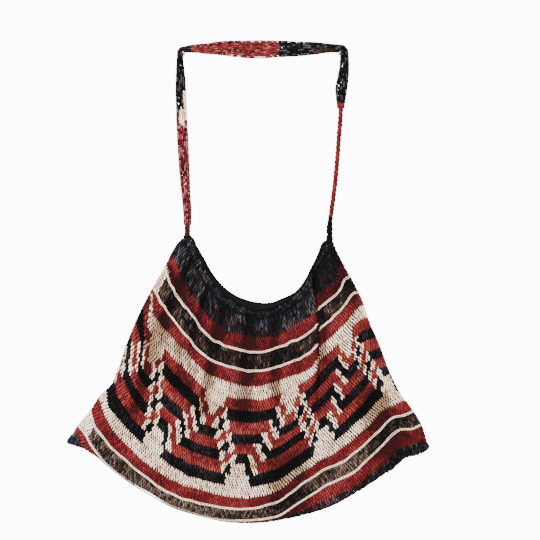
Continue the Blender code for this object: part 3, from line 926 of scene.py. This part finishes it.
# ==== The rim and the hem ========================================================================
# The mouth is finished with a thick black cord, laid from three strands and looped over all round.
# The bottom edge is whipped shut with short, uneven stitches in whatever yarn was at hand.
RIM_POINTS = 420
RIM_ROW = 0.05               # even row along which the cord lies
RIM_INSET = 1.4              # mm in from the cloth's outside, and up from that row
RIM_RISE = 0.3
RIM_STRANDS = 3
RIM_STRAND_RADIUS = 1.3      # mm
RIM_TWIST_RADIUS = 1.25      # mm from the cord's middle to a strand's
RIM_LAY = 13.0               # mm, about, for one turn of the strands
RIM_TONE = 0.35
RIDGE_ROW = 0.62             # one more yarn runs under the cord, at this even row
RIDGE_LIFT = 0.4             # mm that it stands out of the cloth's outside
RIDGE_RADIUS = 1.2
RIDGE_TONES = (0.0, 0.65)

rim_cords = []
around = np.arange(RIM_POINTS + 1) * 2 / RIM_POINTS
rim_points, rim_outs, _ = row_frame(around, np.full(RIM_POINTS + 1, RIM_ROW))
rim_run = np.gradient(rim_points, axis=0)
rim_up = np.cross(rim_run, rim_outs)
rim_up = rim_up / np.linalg.norm(rim_up, axis=1, keepdims=True)
rim_up = rim_up * np.sign(rim_up[:, 2:3] + 1e-9)         # upwards on either side
rim_centre = rim_points - rim_outs * RIM_INSET + rim_up * RIM_RISE
rim_length = np.linalg.norm(np.diff(rim_centre, axis=0), axis=1).sum()
lay = rim_length / round(rim_length / RIM_LAY)
strands, faced = twisted(rim_centre, rim_outs, RIM_STRANDS, RIM_TWIST_RADIUS, lay)
for strand, face in zip(strands, faced):
    rim_cords.append((strand[:-1], face[:-1], RIM_STRAND_RADIUS, "black_wool", RIM_TONE, True))
ridge_centre, ridge_outs = cloth_cord(RIDGE_ROW, RIM_POINTS, RIDGE_LIFT)
ridge_tones = np.random.default_rng(9).uniform(*RIDGE_TONES, RIM_POINTS)
rim_cords.append((ridge_centre, ridge_outs, RIDGE_RADIUS, "charcoal_wool", ridge_tones, True))
rim_piece = cord_piece("rim_cord", rim_cords)

# from and to across, stitches, wool, even rows that a stitch takes on each side of the edge, how
# far it may stand out in mm, slant as a share of the width
HEM = [
    (0.004, 0.045, 34, "navy_wool", 1.5, 3.0, 0.010),
    (0.030, 0.085, 12, "maroon_wool", 0.9, 0.6, 0.004),
    (0.600, 0.880, 150, "black_wool", 0.8, 0.7, 0.005),
    (0.865, 0.996, 120, "black_wool", 1.3, 3.4, 0.012),
]
WHIP_REACHES = (0.5, 1.3)    # times those even rows, from and to
WHIP_SLANTS = (0.6, 0.8)     # times that slant, about, and how far it strays
WHIP_MARGIN = 0.003          # share across at both sides that stays free
WHIP_LIFT = 0.2              # mm that every stitch stands out
WHIP_RADIUS = 1.15
WHIP_TAPER = np.array([0.0, 0.8, 1.0, 1.0, 1.0, 0.8, 0.0])       # shares of it along a stitch
WHIP_TONE = 0.5
WHIP_SPREAD = 0.25


def whipped_hem():
    """Short stitches over the bottom edge, from the front to the back, bunched as they fell."""
    chance = np.random.default_rng(31)
    across, reach, lifts, slants, dyes = [], [], [], [], []
    for first, last, count, dye, rows, stands, slant in HEM:
        across.append(chance.uniform(first, last, count))
        reach.append(rows * chance.uniform(*WHIP_REACHES, count))
        lifts.append(stands * chance.uniform(0.0, 1.0, count))
        slants.append(slant * chance.normal(*WHIP_SLANTS, count))
        dyes.append(np.full(count, WOOL_ORDER.index(dye)))
    across, reach, lifts = np.concatenate(across), np.concatenate(reach), np.concatenate(lifts)
    slants, dyes = np.concatenate(slants)[:, None], np.concatenate(dyes)
    t = np.linspace(-1, 1, len(WHIP_TAPER))[None]
    level = LAST_ROW - reach[:, None] * np.abs(t)
    place = np.clip(across[:, None] + slants * t, WHIP_MARGIN, 1 - WHIP_MARGIN)
    points, outs, _ = row_frame(np.where(t < 0, place, 2 - place), level)
    centres = points + outs * (WHIP_LIFT + lifts[:, None] * (1 - t ** 2))[..., None]
    radii = WHIP_RADIUS * WHIP_TAPER * np.ones((len(across), 1))
    tones = np.clip(WHIP_TONE + chance.normal(0, WHIP_SPREAD, len(across)), 0, 1)
    piece = worked_piece("hem_whipping", centres, outs, radii, dyes, tones)
    return piece


hem_piece = whipped_hem()

# across from and to, wool of the cord inside the bottom edge
EDGE_CORDS = [(0.01, 0.05, "navy_wool"), (0.05, 0.11, "maroon_wool"), (0.11, 0.40, "brown_wool"),
              (0.40, 0.61, "maroon_wool"), (0.61, 0.99, "black_wool")]
EDGE_ROW = 41.97
EDGE_INSET = 0.7             # mm in from the cloth's outside
EDGE_RADIUS = 1.3
EDGE_TONE = 0.45
EDGE_POINTS = 200            # in the whole width
edge_cords = []
for first, last, dye in EDGE_CORDS:
    share = np.linspace(first, last, max(6, round((last - first) * EDGE_POINTS)))
    points, outs, _ = row_frame(share, np.full(len(share), EDGE_ROW))
    edge_cords.append((points - outs * EDGE_INSET, outs, EDGE_RADIUS, dye, EDGE_TONE, False))

# two loose ends hang in a shallow arc from the hem: across from and to, wool, radius, mm they sag
LOOSE_ENDS = [(0.085, 0.47, "maroon_wool", 1.2, 4.8), (0.24, 0.44, "cream_wool", 1.0, 2.8)]
LOOSE_END_Y = -12.0          # mm in front of the wall
LOOSE_END_RISE = 1.0         # mm that they start above the edge
LOOSE_END_TONE = 0.4
LOOSE_END_POINTS = 60
forwards = np.tile([0.0, -1.0, 0.0], (LOOSE_END_POINTS, 1))
for first, last, dye, radius, sag in LOOSE_ENDS:
    edge = along(BOTTOM_LINE, np.linspace(first, last, LOOSE_END_POINTS))
    hang = sag * np.sin(np.pi * np.linspace(0, 1, LOOSE_END_POINTS)) ** 0.5 - LOOSE_END_RISE
    centres = np.stack([edge[:, 0], np.full_like(hang, LOOSE_END_Y), edge[:, 1] - hang], axis=1)
    edge_cords.append((centres, forwards, radius, dye, LOOSE_END_TONE, False))
edge_piece = cord_piece("hem_cord", edge_cords)


# ==== The cloth behind the loops =================================================================
# The backs of the loops lie close behind the strands that show, and close the cloth up. They are
# one thin sheet that turns round both sides and is sewn shut along the bottom. It is coloured in
# dark shades of the bands' wools, black behind cream and crimson behind the brighter reds, as
# painted shade.
INNER_COLUMNS = 200
INNER_ROWS = 60
INNER_DEPTH = 2.6            # mm in from the cloth's outside
INNER_THICKNESS = 0.8
# the sheet's tone, near its wool's dark shade: painted shade
INNER_PAINTED_SHADE = 0.3
# painted shade: the darker wool that the sheet takes behind a lighter one
PAINTED_SHADE_WOOLS = {"cream_wool": "black_wool", "rust_wool": "crimson_wool",
          "brick_red_wool": "crimson_wool"}
MERGED = 0.05                # mm within which two points of a sheet are one


def inner_cloth():
    """The sheet, in dark shades of the bands' wools, which paint the shade behind the loops."""
    around = (np.arange(INNER_COLUMNS) + 0.5) * 2 / INNER_COLUMNS
    rows = np.linspace(RIM_ROW, LAST_ROW, INNER_ROWS + 1)
    grid_around, grid_rows = np.meshgrid(around, rows)
    points, outs, _ = row_frame(grid_around, grid_rows)
    points = (points - outs * INNER_DEPTH).reshape(-1, 3)
    faces, dyes, uv = [], [], []
    for j in range(INNER_ROWS):
        middle = (rows[j] + rows[j + 1]) / 2
        dye = next(band[4] for band in BANDS if band[2] <= middle < band[3])
        for i in range(INNER_COLUMNS):
            n = (i + 1) % INNER_COLUMNS
            faces.append((j * INNER_COLUMNS + i, (j + 1) * INNER_COLUMNS + i,
                          (j + 1) * INNER_COLUMNS + n, j * INNER_COLUMNS + n))
            uv.extend([(i, j), (i, j + 1), (i + 1, j + 1), (i + 1, j)])
            own = dye
            if ZIGZAG_TOP <= middle < ZIGZAG_BOTTOM:
                own = zigzag_colour((i + 1) * STITCHES_ROUND / INNER_COLUMNS, middle, dye)
            dyes.append(WOOL_ORDER.index(PAINTED_SHADE_WOOLS.get(own, own)))
    tones = np.full(len(points), INNER_PAINTED_SHADE)
    return add_yarn("bag_cloth", points, faces, np.array(uv, float), tones, np.array(dyes))


def thickened(piece, thickness, offset):
    """Gives a sheet its thickness, closes it, and returns the area of one side in m2."""
    bpy.ops.object.select_all(action="DESELECT")
    bpy.context.view_layer.objects.active = piece
    piece.select_set(True)
    bpy.ops.object.mode_set(mode="EDIT")
    bpy.ops.mesh.select_all(action="SELECT")
    bpy.ops.mesh.remove_doubles(threshold=MERGED * MM)
    bpy.ops.mesh.delete_loose()
    bpy.ops.object.mode_set(mode="OBJECT")
    backing = piece.modifiers.new("thickness", "SOLIDIFY")
    backing.thickness = thickness * MM
    backing.offset = offset
    backing.use_even_offset = False
    bpy.ops.object.modifier_apply(modifier=backing.name)
    return sum(polygon.area for polygon in piece.data.polygons) / 2


bag_cloth = inner_cloth()
bag_area = thickened(bag_cloth, INNER_THICKNESS, -1)
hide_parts("bag_body")


# ==== The strap ==================================================================================
# One looped band, worked on from the left mouth corner in several lots of yarn. It is wide and open
# over the top, hangs on the two pins, and is twisted to a round cord all down the right side. Both
# ends are whipped to the mouth's corners.
PIN_X = 125.5                # mm from the middle to either pin
PIN_RADIUS = 1.5
GAP = 0.3                    # mm between the strap and a pin
PIN_FACET = -0.15            # mm that a flat side of the strap lies inside its stated width
# x, z, width and thickness in mm
STRAP_LEFT = [(-119.6, -295.6, 10.0, 7.0), (-119.4, -262.0, 10.5, 5.0), (-122.4, -217.0, 13.0, 4.0),
              (-126.5, -150.0, 16.0, 3.6), (-129.4, -86.0, 15.0, 3.6), (-130.6, -40.0, 13.0, 4.0),
              (-131.4, -14.0, 9.0, 5.0)]
STRAP_TOP = [(-110.0, 7.4, 11.0, 5.0), (-92.0, 7.4, 14.5, 4.4), (-65.0, 8.2, 20.5, 3.8),
             (-28.0, 6.4, 26.0, 3.4), (0.0, 6.2, 27.0, 3.4), (28.0, 7.0, 24.5, 3.4),
             (63.0, 7.0, 21.0, 3.8), (90.0, 8.0, 17.0, 4.2), (108.0, 8.2, 12.5, 5.0)]
STRAP_RIGHT = [(133.4, -12.0, 12.5, 5.0), (131.5, -36.0, 15.0, 4.4), (128.2, -57.0, 17.0, 4.0),
               (127.4, -78.0, 12.0, 4.6), (127.0, -96.0, 7.6, 5.4), (124.6, -130.0, 6.2, 5.4),
               (117.2, -217.0, 6.4, 5.4), (111.2, -262.0, 6.6, 5.6), (109.4, -277.0, 8.6, 7.4),
               (109.2, -284.0, 7.4, 6.6), (109.3, -300.6, 9.0, 7.0)]
# width and thickness in mm where it is drawn together over a pin
PIN_WRAP_LEFT = (8.0, 6.0)
PIN_WRAP_RIGHT = (11.5, 6.0)
PIN_WRAP_POINTS = 13
FACE_ROUNDNESS = 0.6         # smaller is flatter across a face
EDGE_TURN = 3                # larger turns a face to its edge later


def strap_sections():
    """x, z, width and thickness, in mm, from the left mouth corner to the right one."""
    arcs = []
    for side, (width, thick) in ((-1, PIN_WRAP_LEFT), (1, PIN_WRAP_RIGHT)):
        angle = np.linspace(0, math.pi / 2, PIN_WRAP_POINTS)
        radius = PIN_RADIUS + GAP + PIN_FACET + width / 2
        arcs.append(np.stack([side * (PIN_X + radius * np.cos(angle)), radius * np.sin(angle),
                              np.full_like(angle, width), np.full_like(angle, thick)], axis=1))
    left, right = arcs[0], arcs[1][::-1]
    return np.vstack([smooth_line(STRAP_LEFT + [tuple(left[0])])[:-1], left[:-1],
                      smooth_line([tuple(left[-1])] + STRAP_TOP + [tuple(right[0])])[:-1],
                      right[:-1], smooth_line([tuple(right[-1])] + STRAP_RIGHT)])


STRAP_LINE = strap_sections()
STRAP_RUN = np.concatenate(
    [[0.0], np.cumsum(np.linalg.norm(np.diff(STRAP_LINE[:, :2], axis=0), axis=1))])
STRAP_LENGTH = STRAP_RUN[-1]


def strap_point(run, across, lift):
    """Points of the strap in mm, and the way out of its face. across is -1 on the outer edge of
    the hanging loop and 1 on the inner, and lift is -1 on the front face and 1 on the back."""
    x, z, width, thick = (np.interp(run, STRAP_RUN, STRAP_LINE[:, k]) for k in range(4))
    ahead = [np.interp(run + 1, STRAP_RUN, STRAP_LINE[:, k]) for k in (0, 1)]
    behind = [np.interp(run - 1, STRAP_RUN, STRAP_LINE[:, k]) for k in (0, 1)]
    along_x, along_z = ahead[0] - behind[0], ahead[1] - behind[1]
    size = np.hypot(along_x, along_z)
    inward = np.stack([along_z / size, np.zeros_like(run), -along_x / size], axis=-1)
    centre = np.stack([x, np.full_like(x, STRAP_Y), z], axis=-1)
    round_face = np.sqrt(np.clip(1 - np.clip(across, -1, 1) ** 2, 0, 1)) ** FACE_ROUNDNESS
    deep = np.stack([np.zeros_like(run), lift * round_face * thick / 2, np.zeros_like(run)],
                    axis=-1)
    point = centre + inward * (across * width / 2)[..., None] + deep
    out = np.stack([np.zeros_like(run), lift, np.zeros_like(run)], axis=-1)
    out = out + inward * (across ** EDGE_TURN)[..., None]
    return point, out / np.linalg.norm(out, axis=-1, keepdims=True), width


# from and to in mm from the left mouth corner, from and to across, wool. Later lots lie on top.
STRAP_LOTS = [
    (0, 180, -1.1, 1.1, "maroon_wool"),
    (0, 26, -1.1, 1.1, "brick_red_wool"),
    (26, 139, 0.45, 1.1, "brick_red_wool"),
    (180, 207, -1.1, 1.1, "maroon_wool"),
    (187, 207, -0.5, 1.1, "cream_wool"),
    (179, 187, -0.4, 0.6, "cream_wool"),
    (207, 289, -1.1, 1.1, "black_wool"),
    (207, 233, 0.4, 1.1, "cream_wool"),
    (289, 318, -1.1, 1.1, "plum_wool"),
    (318, 457, -1.1, 1.1, "brick_red_wool"),
    (457, 649, -1.1, 1.1, "black_wool"),
    (516, 548, -0.2, 1.1, "brown_wool"),
    (649, 832, -1.1, 1.1, "rust_wool"),
    (832, 900, -1.1, 1.1, "black_wool"),
]
# where the loops are open enough to see through: from, to, across from and to, share of holes
STRAP_OPEN = [
    (30, 180, -0.8, 0.2, 0.015),
    (207, 240, -0.9, 0.0, 0.06),
    (240, 285, -0.9, 0.3, 0.04),
    (330, 457, -0.8, 0.8, 0.006),
    (457, 480, -0.9, 0.9, 0.03),
    (575, 650, 0.0, 0.95, 0.07),
]
# the strap's yarn was spun with lighter flecks: share of pale strands in it, their wool and tone
STRAP_FLECKS = {"maroon_wool": (0.30, "pink_wool", 0.1), "brick_red_wool": (0.12, "pink_wool", 0.0),
                "black_wool": (0.30, "charcoal_wool", 0.8)}


def strap_wool(run, across):
    """The wool at a place on the strap, as a place in WOOL_ORDER."""
    found = [lot[4] for lot in STRAP_LOTS if lot[0] <= run < lot[1] and lot[2] <= across <= lot[3]]
    return WOOL_ORDER.index(found[-1])


def strap_open(run, across):
    """The share of holes at a place on the strap."""
    found = [part[4] for part in STRAP_OPEN
             if part[0] <= run < part[1] and part[2] <= across <= part[3]]
    return found[-1] if found else 0.0


STRAP_ROW = 4.3              # mm along the strap between rows of stitches
STRAP_LEG = 3.3              # mm across the strap between strands
STRAP_LEG_FILL = 0.37        # radius, as a share of that
STRAP_LEG_MOST = 1.35        # mm, the greatest radius
BAND_FROM = 20.0             # the part that is worked flat, in mm from the left mouth corner
BAND_TO = 655.0
FACE_REACH = 1.5             # length of a strand on a face, and on an edge, in rows
EDGE_REACH = 1.6
FACE_SHARE = 0.95            # of the width that the faces' strands stand in
FACE_MOST = 0.97             # and that they reach
SWING_RANGE = (0.5, 1.4)     # times its usual slant
ACROSS_JOG = 0.03            # how far a strand strays across the strap, where 2 is its full width
ALONG_JOG = 0.3              # and along it, in mm
EDGE_SIDE = 0.2              # how far to one face an edge's strand lies, and the next to the other
STRAP_BOW = np.array([-0.7, 0.0, 0.5, 0.1, -0.7])        # mm that a strand stands out, along it
STRAP_TONE = 0.4
STRAP_SPREAD = 0.22


def strap_loops():
    """The strands of both faces of the band, and one along each edge."""
    chance = np.random.default_rng(61)
    on_face = LEG_STATIONS * FACE_REACH - (FACE_REACH - 1) / 2
    on_edge = LEG_STATIONS * EDGE_REACH - (EDGE_REACH - 1) / 2
    runs, across, lifts, widths = [], [], [], []
    for number, start in enumerate(np.arange(BAND_FROM, BAND_TO, STRAP_ROW)):
        width = np.interp(start, STRAP_RUN, STRAP_LINE[:, 2])
        count = max(2, round(width / STRAP_LEG))
        for face in (-1.0, 1.0):
            lean = 0.5 if (number % 2 == 0) == (face < 0) else -0.5
            for k in range(count):
                middle = ((k + 0.5) / count * 2 - 1) * FACE_SHARE + chance.normal(0, ACROSS_JOG)
                swing = lean * 2 / count * chance.uniform(*SWING_RANGE)
                place = middle + swing * (LEG_STATIONS - 0.5)
                runs.append(start + on_face * STRAP_ROW + chance.normal(0, ALONG_JOG))
                across.append(np.clip(place, -FACE_MOST, FACE_MOST))
                lifts.append(np.full_like(place, face))
                widths.append(width / count)
        for edge in (-1.0, 1.0):
            runs.append(start + on_edge * STRAP_ROW)
            across.append(np.full_like(on_edge, edge))
            lifts.append(np.full_like(on_edge, -EDGE_SIDE if number % 2 else EDGE_SIDE))
            widths.append(width / count)
    runs, across, lifts = np.array(runs), np.array(across), np.array(lifts)
    points, outs, _ = strap_point(runs, across, lifts)
    points = points + outs * STRAP_BOW[None, :, None]
    radii = np.minimum(np.array(widths) * STRAP_LEG_FILL, STRAP_LEG_MOST)
    radii = radii * chance.uniform(*GIRTH_RANGE, len(widths))
    dyes = np.array([strap_wool(run[2], place[2]) for run, place in zip(runs, across)])
    tones = STRAP_TONE + chance.normal(0, STRAP_SPREAD, len(dyes))
    drawn = chance.random(len(dyes))
    for own, (share, fleck, tone) in STRAP_FLECKS.items():
        flecked = (dyes == WOOL_ORDER.index(own)) & (drawn < share)
        dyes = np.where(flecked, WOOL_ORDER.index(fleck), dyes)
        tones = np.where(flecked, tone, tones)
    tones = np.clip(tones, 0, 1)
    piece = worked_piece("strap_loops", points, outs, radii[:, None] * LEG_TAPER[None], dyes, tones)
    return piece


CLOTH_COLUMNS = 13
CLOTH_STEP = 2.0             # mm along the strap
CLOTH_SHARE = 0.9            # of the strap's width
CLOTH_THICKNESS = 0.8
# the band's tone, near its wool's dark shade: painted shade between the two faces
CLOTH_PAINTED_SHADE = 0.15


def strap_cloth():
    """The crossings of the loops between the two faces: a thin band with holes in it, in a dark shade
    of each lot's wool as painted shade.
    """
    chance = np.random.default_rng(62)
    stations = np.arange(CLOTH_STEP, STRAP_LENGTH - 1, CLOTH_STEP)
    places = np.linspace(-CLOTH_SHARE, CLOTH_SHARE, CLOTH_COLUMNS + 1)
    grid_places, grid_runs = np.meshgrid(places, stations)
    points, _, _ = strap_point(grid_runs, grid_places, np.zeros_like(grid_runs))
    faces, uv, dyes = [], [], []
    for j in range(len(stations) - 1):
        for i in range(CLOTH_COLUMNS):
            run, across = stations[j] + CLOTH_STEP / 2, (places[i] + places[i + 1]) / 2
            if chance.random() < strap_open(run, across):
                continue
            corner = j * (CLOTH_COLUMNS + 1) + i
            faces.append((corner, corner + CLOTH_COLUMNS + 1, corner + CLOTH_COLUMNS + 2, corner + 1))
            uv.extend([(i, j), (i, j + 1), (i + 1, j + 1), (i + 1, j)])
            dyes.append(strap_wool(run, across))
    tones = np.full((CLOTH_COLUMNS + 1) * len(stations), CLOTH_PAINTED_SHADE)
    return add_yarn("strap_cloth", points.reshape(-1, 3), faces, np.array(uv, float), tones,
                    np.array(dyes))


# the round ends: from and to along the strap in mm, strands, their radius, mm from the middle to a
# strand, mm to a turn
CORDS = [
    ("left", -1.5, 27.0, 3, 2.2, 2.7, 30.0),
    ("right", 640.0, STRAP_LENGTH + 1.0, 3, 2.3, 2.1, 24.0),
]
CORD_STEP = 1.6              # mm between the rings of a strand
LOT_ENDS = (0.0, 649.0, 832.0)           # mm along the strap where the yarn changes
LATER_STRAND = 0.08          # tone that each strand has over the one before
KNOT_AT = 853.0              # mm along the strap
KNOT_HALF = 7.0              # half its length
KNOT_SWELL = 0.35            # how much thicker the cord is there
# turns of black yarn round the mouth's corners: mm along the strap, half-width, half-depth
WHIPPINGS = [
    (-0.6, 5.6, 4.4),
    (1.6, 5.4, 4.2),
    (STRAP_LENGTH - 6, 4.6, 4.2),
    (STRAP_LENGTH - 3.4, 4.8, 4.4),
    (STRAP_LENGTH - 0.8, 5.0, 4.6),
]
WHIPPING_SLANT = 0.9         # mm
WHIPPING_RADIUS = 1.25
WHIPPING_TONE = 0.35
WHIPPING_POINTS = 18
NEAR_FACE = -0.001           # a lift that is as good as none, and says which way the face looks


def strap_cords():
    """The twisted ends, each lot of yarn as its own length, and the whipping at the corners."""
    cords = []
    for _, first, last, strands, radius, twist, lay in CORDS:
        ends = [first] + [end for end in LOT_ENDS if first < end < last] + [last]
        for start, finish in zip(ends, ends[1:]):
            run = np.linspace(start, finish, max(4, round((finish - start) / CORD_STEP)))
            centres, outs, _ = strap_point(run, np.zeros_like(run), np.full_like(run, NEAR_FACE))
            swell = 1 + KNOT_SWELL * np.exp(-((run - KNOT_AT) / KNOT_HALF) ** 2)
            found, faced = twisted(centres, outs, strands, twist * swell, lay, start / lay)
            dye = WOOL_ORDER[strap_wool(max((start + finish) / 2, 0.0), 0.0)]
            for k in range(strands):
                cords.append((found[k], faced[k], radius * swell, dye, LATER_STRAND * k, False))
    for place, width, depth in WHIPPINGS:
        angle = np.linspace(0, 2 * math.pi, WHIPPING_POINTS, endpoint=False)
        run = place + WHIPPING_SLANT * np.sin(angle)
        lift = np.full_like(run, NEAR_FACE)
        centre, _, real = strap_point(run, np.zeros_like(run), lift)
        inward = strap_point(run, np.ones_like(run), lift)[0] - centre
        inward = inward / (real / 2)[:, None]
        deep = np.array([0.0, 1.0, 0.0])
        away = inward * (width * np.cos(angle))[:, None] + deep * (depth * np.sin(angle))[:, None]
        outs = away / np.linalg.norm(away, axis=1, keepdims=True)
        cords.append((centre + away, outs, WHIPPING_RADIUS, "black_wool", WHIPPING_TONE, True))
    piece = cord_piece("strap_cords", cords)
    return piece


strap_band = strap_loops()
strap_ends = strap_cords()
strap_middle = strap_cloth()
strap_area = thickened(strap_middle, CLOTH_THICKNESS, 0)
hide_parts("strap")


# ==== The pins ===================================================================================
# The bag hangs on two plain steel pins, driven into the wall level with each other. Each is a
# length of drawn wire with its end rounded over.
PIN_LENGTH = 27.0            # mm, from the wall
PIN_BEVEL = 0.5              # mm, and the segments that it is rounded with
PIN_SEGMENTS = 3
PIN_SIDES = 32


def pin_steel():
    """Drawn steel wire, dulled by handling: fine lines along it and a few darker spots."""
    material = bpy.data.materials.new("pin_steel")
    material.use_nodes = True
    tree = material.node_tree
    shader = tree.nodes["Principled BSDF"]
    shader.inputs["Metallic"].default_value = 1.0
    place = add_node(tree, "ShaderNodeTexCoord")
    stretched = add_node(tree, "ShaderNodeMapping", [("Scale", (1.0, 0.03, 1.0))],
                         [("Vector", place.outputs["Object"])])
    lines = add_node(tree, "ShaderNodeTexNoise", [("Scale", 9000.0), ("Detail", 3.0)],
                     [("Vector", stretched.outputs["Vector"])])
    spots = add_node(tree, "ShaderNodeTexNoise", [("Scale", 420.0), ("Detail", 4.0)],
                     [("Vector", place.outputs["Object"])])
    shade = add_node(tree, "ShaderNodeValToRGB", (), [("Fac", spots.outputs["Fac"])])
    shade.color_ramp.elements[0].color = linear("#5f5d59")
    shade.color_ramp.elements[1].color = linear("#b9b9ba")
    rough = add_node(tree, "ShaderNodeMapRange", [("To Min", 0.24), ("To Max", 0.46)],
                     [("Value", lines.outputs["Fac"])])
    bump = add_node(tree, "ShaderNodeBump", [("Strength", 0.25), ("Distance", 0.00005)],
                    [("Height", lines.outputs["Fac"])])
    tree.links.new(shade.outputs["Color"], shader.inputs["Base Color"])
    tree.links.new(rough.outputs["Result"], shader.inputs["Roughness"])
    tree.links.new(bump.outputs["Normal"], shader.inputs["Normal"])
    return material


steel = pin_steel()
for node, x in (("pin_left", -PIN_X), ("pin_right", PIN_X)):
    bpy.ops.object.select_all(action="DESELECT")
    bpy.ops.mesh.primitive_cylinder_add(
        vertices=PIN_SIDES, radius=PIN_RADIUS * MM, depth=PIN_LENGTH * MM,
        location=(x * MM, -PIN_LENGTH * MM / 2, 0), rotation=(math.pi / 2, 0, 0))
    nail = bpy.context.object
    nail.name = node + "_wire"
    bpy.ops.object.transform_apply(location=True, rotation=True, scale=True)
    rounding = nail.modifiers.new("rounded end", "BEVEL")
    rounding.width = PIN_BEVEL * MM
    rounding.segments = PIN_SEGMENTS
    rounding.limit_method = "ANGLE"
    bpy.ops.object.modifier_apply(modifier=rounding.name)
    bpy.ops.object.shade_smooth_by_angle(angle=math.radians(35))
    nail.data.materials.append(steel)
    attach(nail, "root")
    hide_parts(node)


# ==== The studio =================================================================================
# A pale floor lies well below the bag. The light is soft and even, with one large lamp up on the
# left, and the camera has a long lens and looks square on to the bag. Lengths are in m.
FLOOR_Z = -1.25
FLOOR_SIDE = 3.0             # to the left, to the right and in front
FLOOR_BACK = 2.0
LAMP_PLACE = (-1.3, -2.2, 1.1)
LAMP_SIZE = 1.6
LAMP_WATTS = 220
LIT_PLACE = (0, 0, -0.4)
SKY_STRENGTH = 2.0
BACKDROP_STRENGTH = 12.0
BAG_FRONT = -0.03
PICTURE_MIDDLE = (0.0134, -0.3488)       # x and z
PICTURE_WIDTH = 0.864        # across the picture at the bag's front
CAMERA_AWAY = 2.5            # from there
SENSOR_WIDTH = 36.0          # mm

floor_mesh = bpy.data.meshes.new("floor")
floor_mesh.from_pydata([(-FLOOR_SIDE, -FLOOR_SIDE, FLOOR_Z), (FLOOR_SIDE, -FLOOR_SIDE, FLOOR_Z),
                        (FLOOR_SIDE, FLOOR_BACK, FLOOR_Z), (-FLOOR_SIDE, FLOOR_BACK, FLOOR_Z)],
                       [], [(0, 1, 2, 3)])
floor = bpy.data.objects.new("floor", floor_mesh)
bpy.context.scene.collection.objects.link(floor)
# smooth pale paint, which gives the eye an even light grey
floor_paint = bpy.data.materials.new("pale_floor")
floor_paint.use_nodes = True
floor_shader = floor_paint.node_tree.nodes["Principled BSDF"]
floor_shader.inputs["Base Color"].default_value = (0.8, 0.8, 0.8, 1.0)
floor_mesh.materials.append(floor_paint)

world = bpy.data.worlds.new("studio")
bpy.context.scene.world = world
world.use_nodes = True
sky = world.node_tree.nodes["Background"]
sky.inputs["Color"].default_value = (1.0, 1.0, 1.0, 1.0)
# the paper behind the bag is lit on its own, much brighter than the light that reaches the bag
seen = add_node(world.node_tree, "ShaderNodeLightPath")
strength = add_node(world.node_tree, "ShaderNodeMapRange",
                    [("To Min", SKY_STRENGTH), ("To Max", BACKDROP_STRENGTH)],
                    [("Value", seen.outputs["Is Camera Ray"])])
world.node_tree.links.new(strength.outputs["Result"], sky.inputs["Strength"])

key = bpy.data.lights.new("key", "AREA")
key.energy = LAMP_WATTS
key.size = LAMP_SIZE
key_light = bpy.data.objects.new("key", key)
key_light.location = LAMP_PLACE
towards_bag = Vector(LIT_PLACE) - key_light.location
key_light.rotation_euler = towards_bag.to_track_quat("-Z", "Y").to_euler()
bpy.context.scene.collection.objects.link(key_light)

camera_data = bpy.data.cameras.new("camera")
camera_data.sensor_width = SENSOR_WIDTH
camera_data.lens = SENSOR_WIDTH * CAMERA_AWAY / PICTURE_WIDTH
camera = bpy.data.objects.new("camera", camera_data)
camera.location = (PICTURE_MIDDLE[0], BAG_FRONT - CAMERA_AWAY, PICTURE_MIDDLE[1])
camera.rotation_euler = (math.pi / 2, 0, 0)
bpy.context.scene.collection.objects.link(camera)
bpy.context.scene.camera = camera
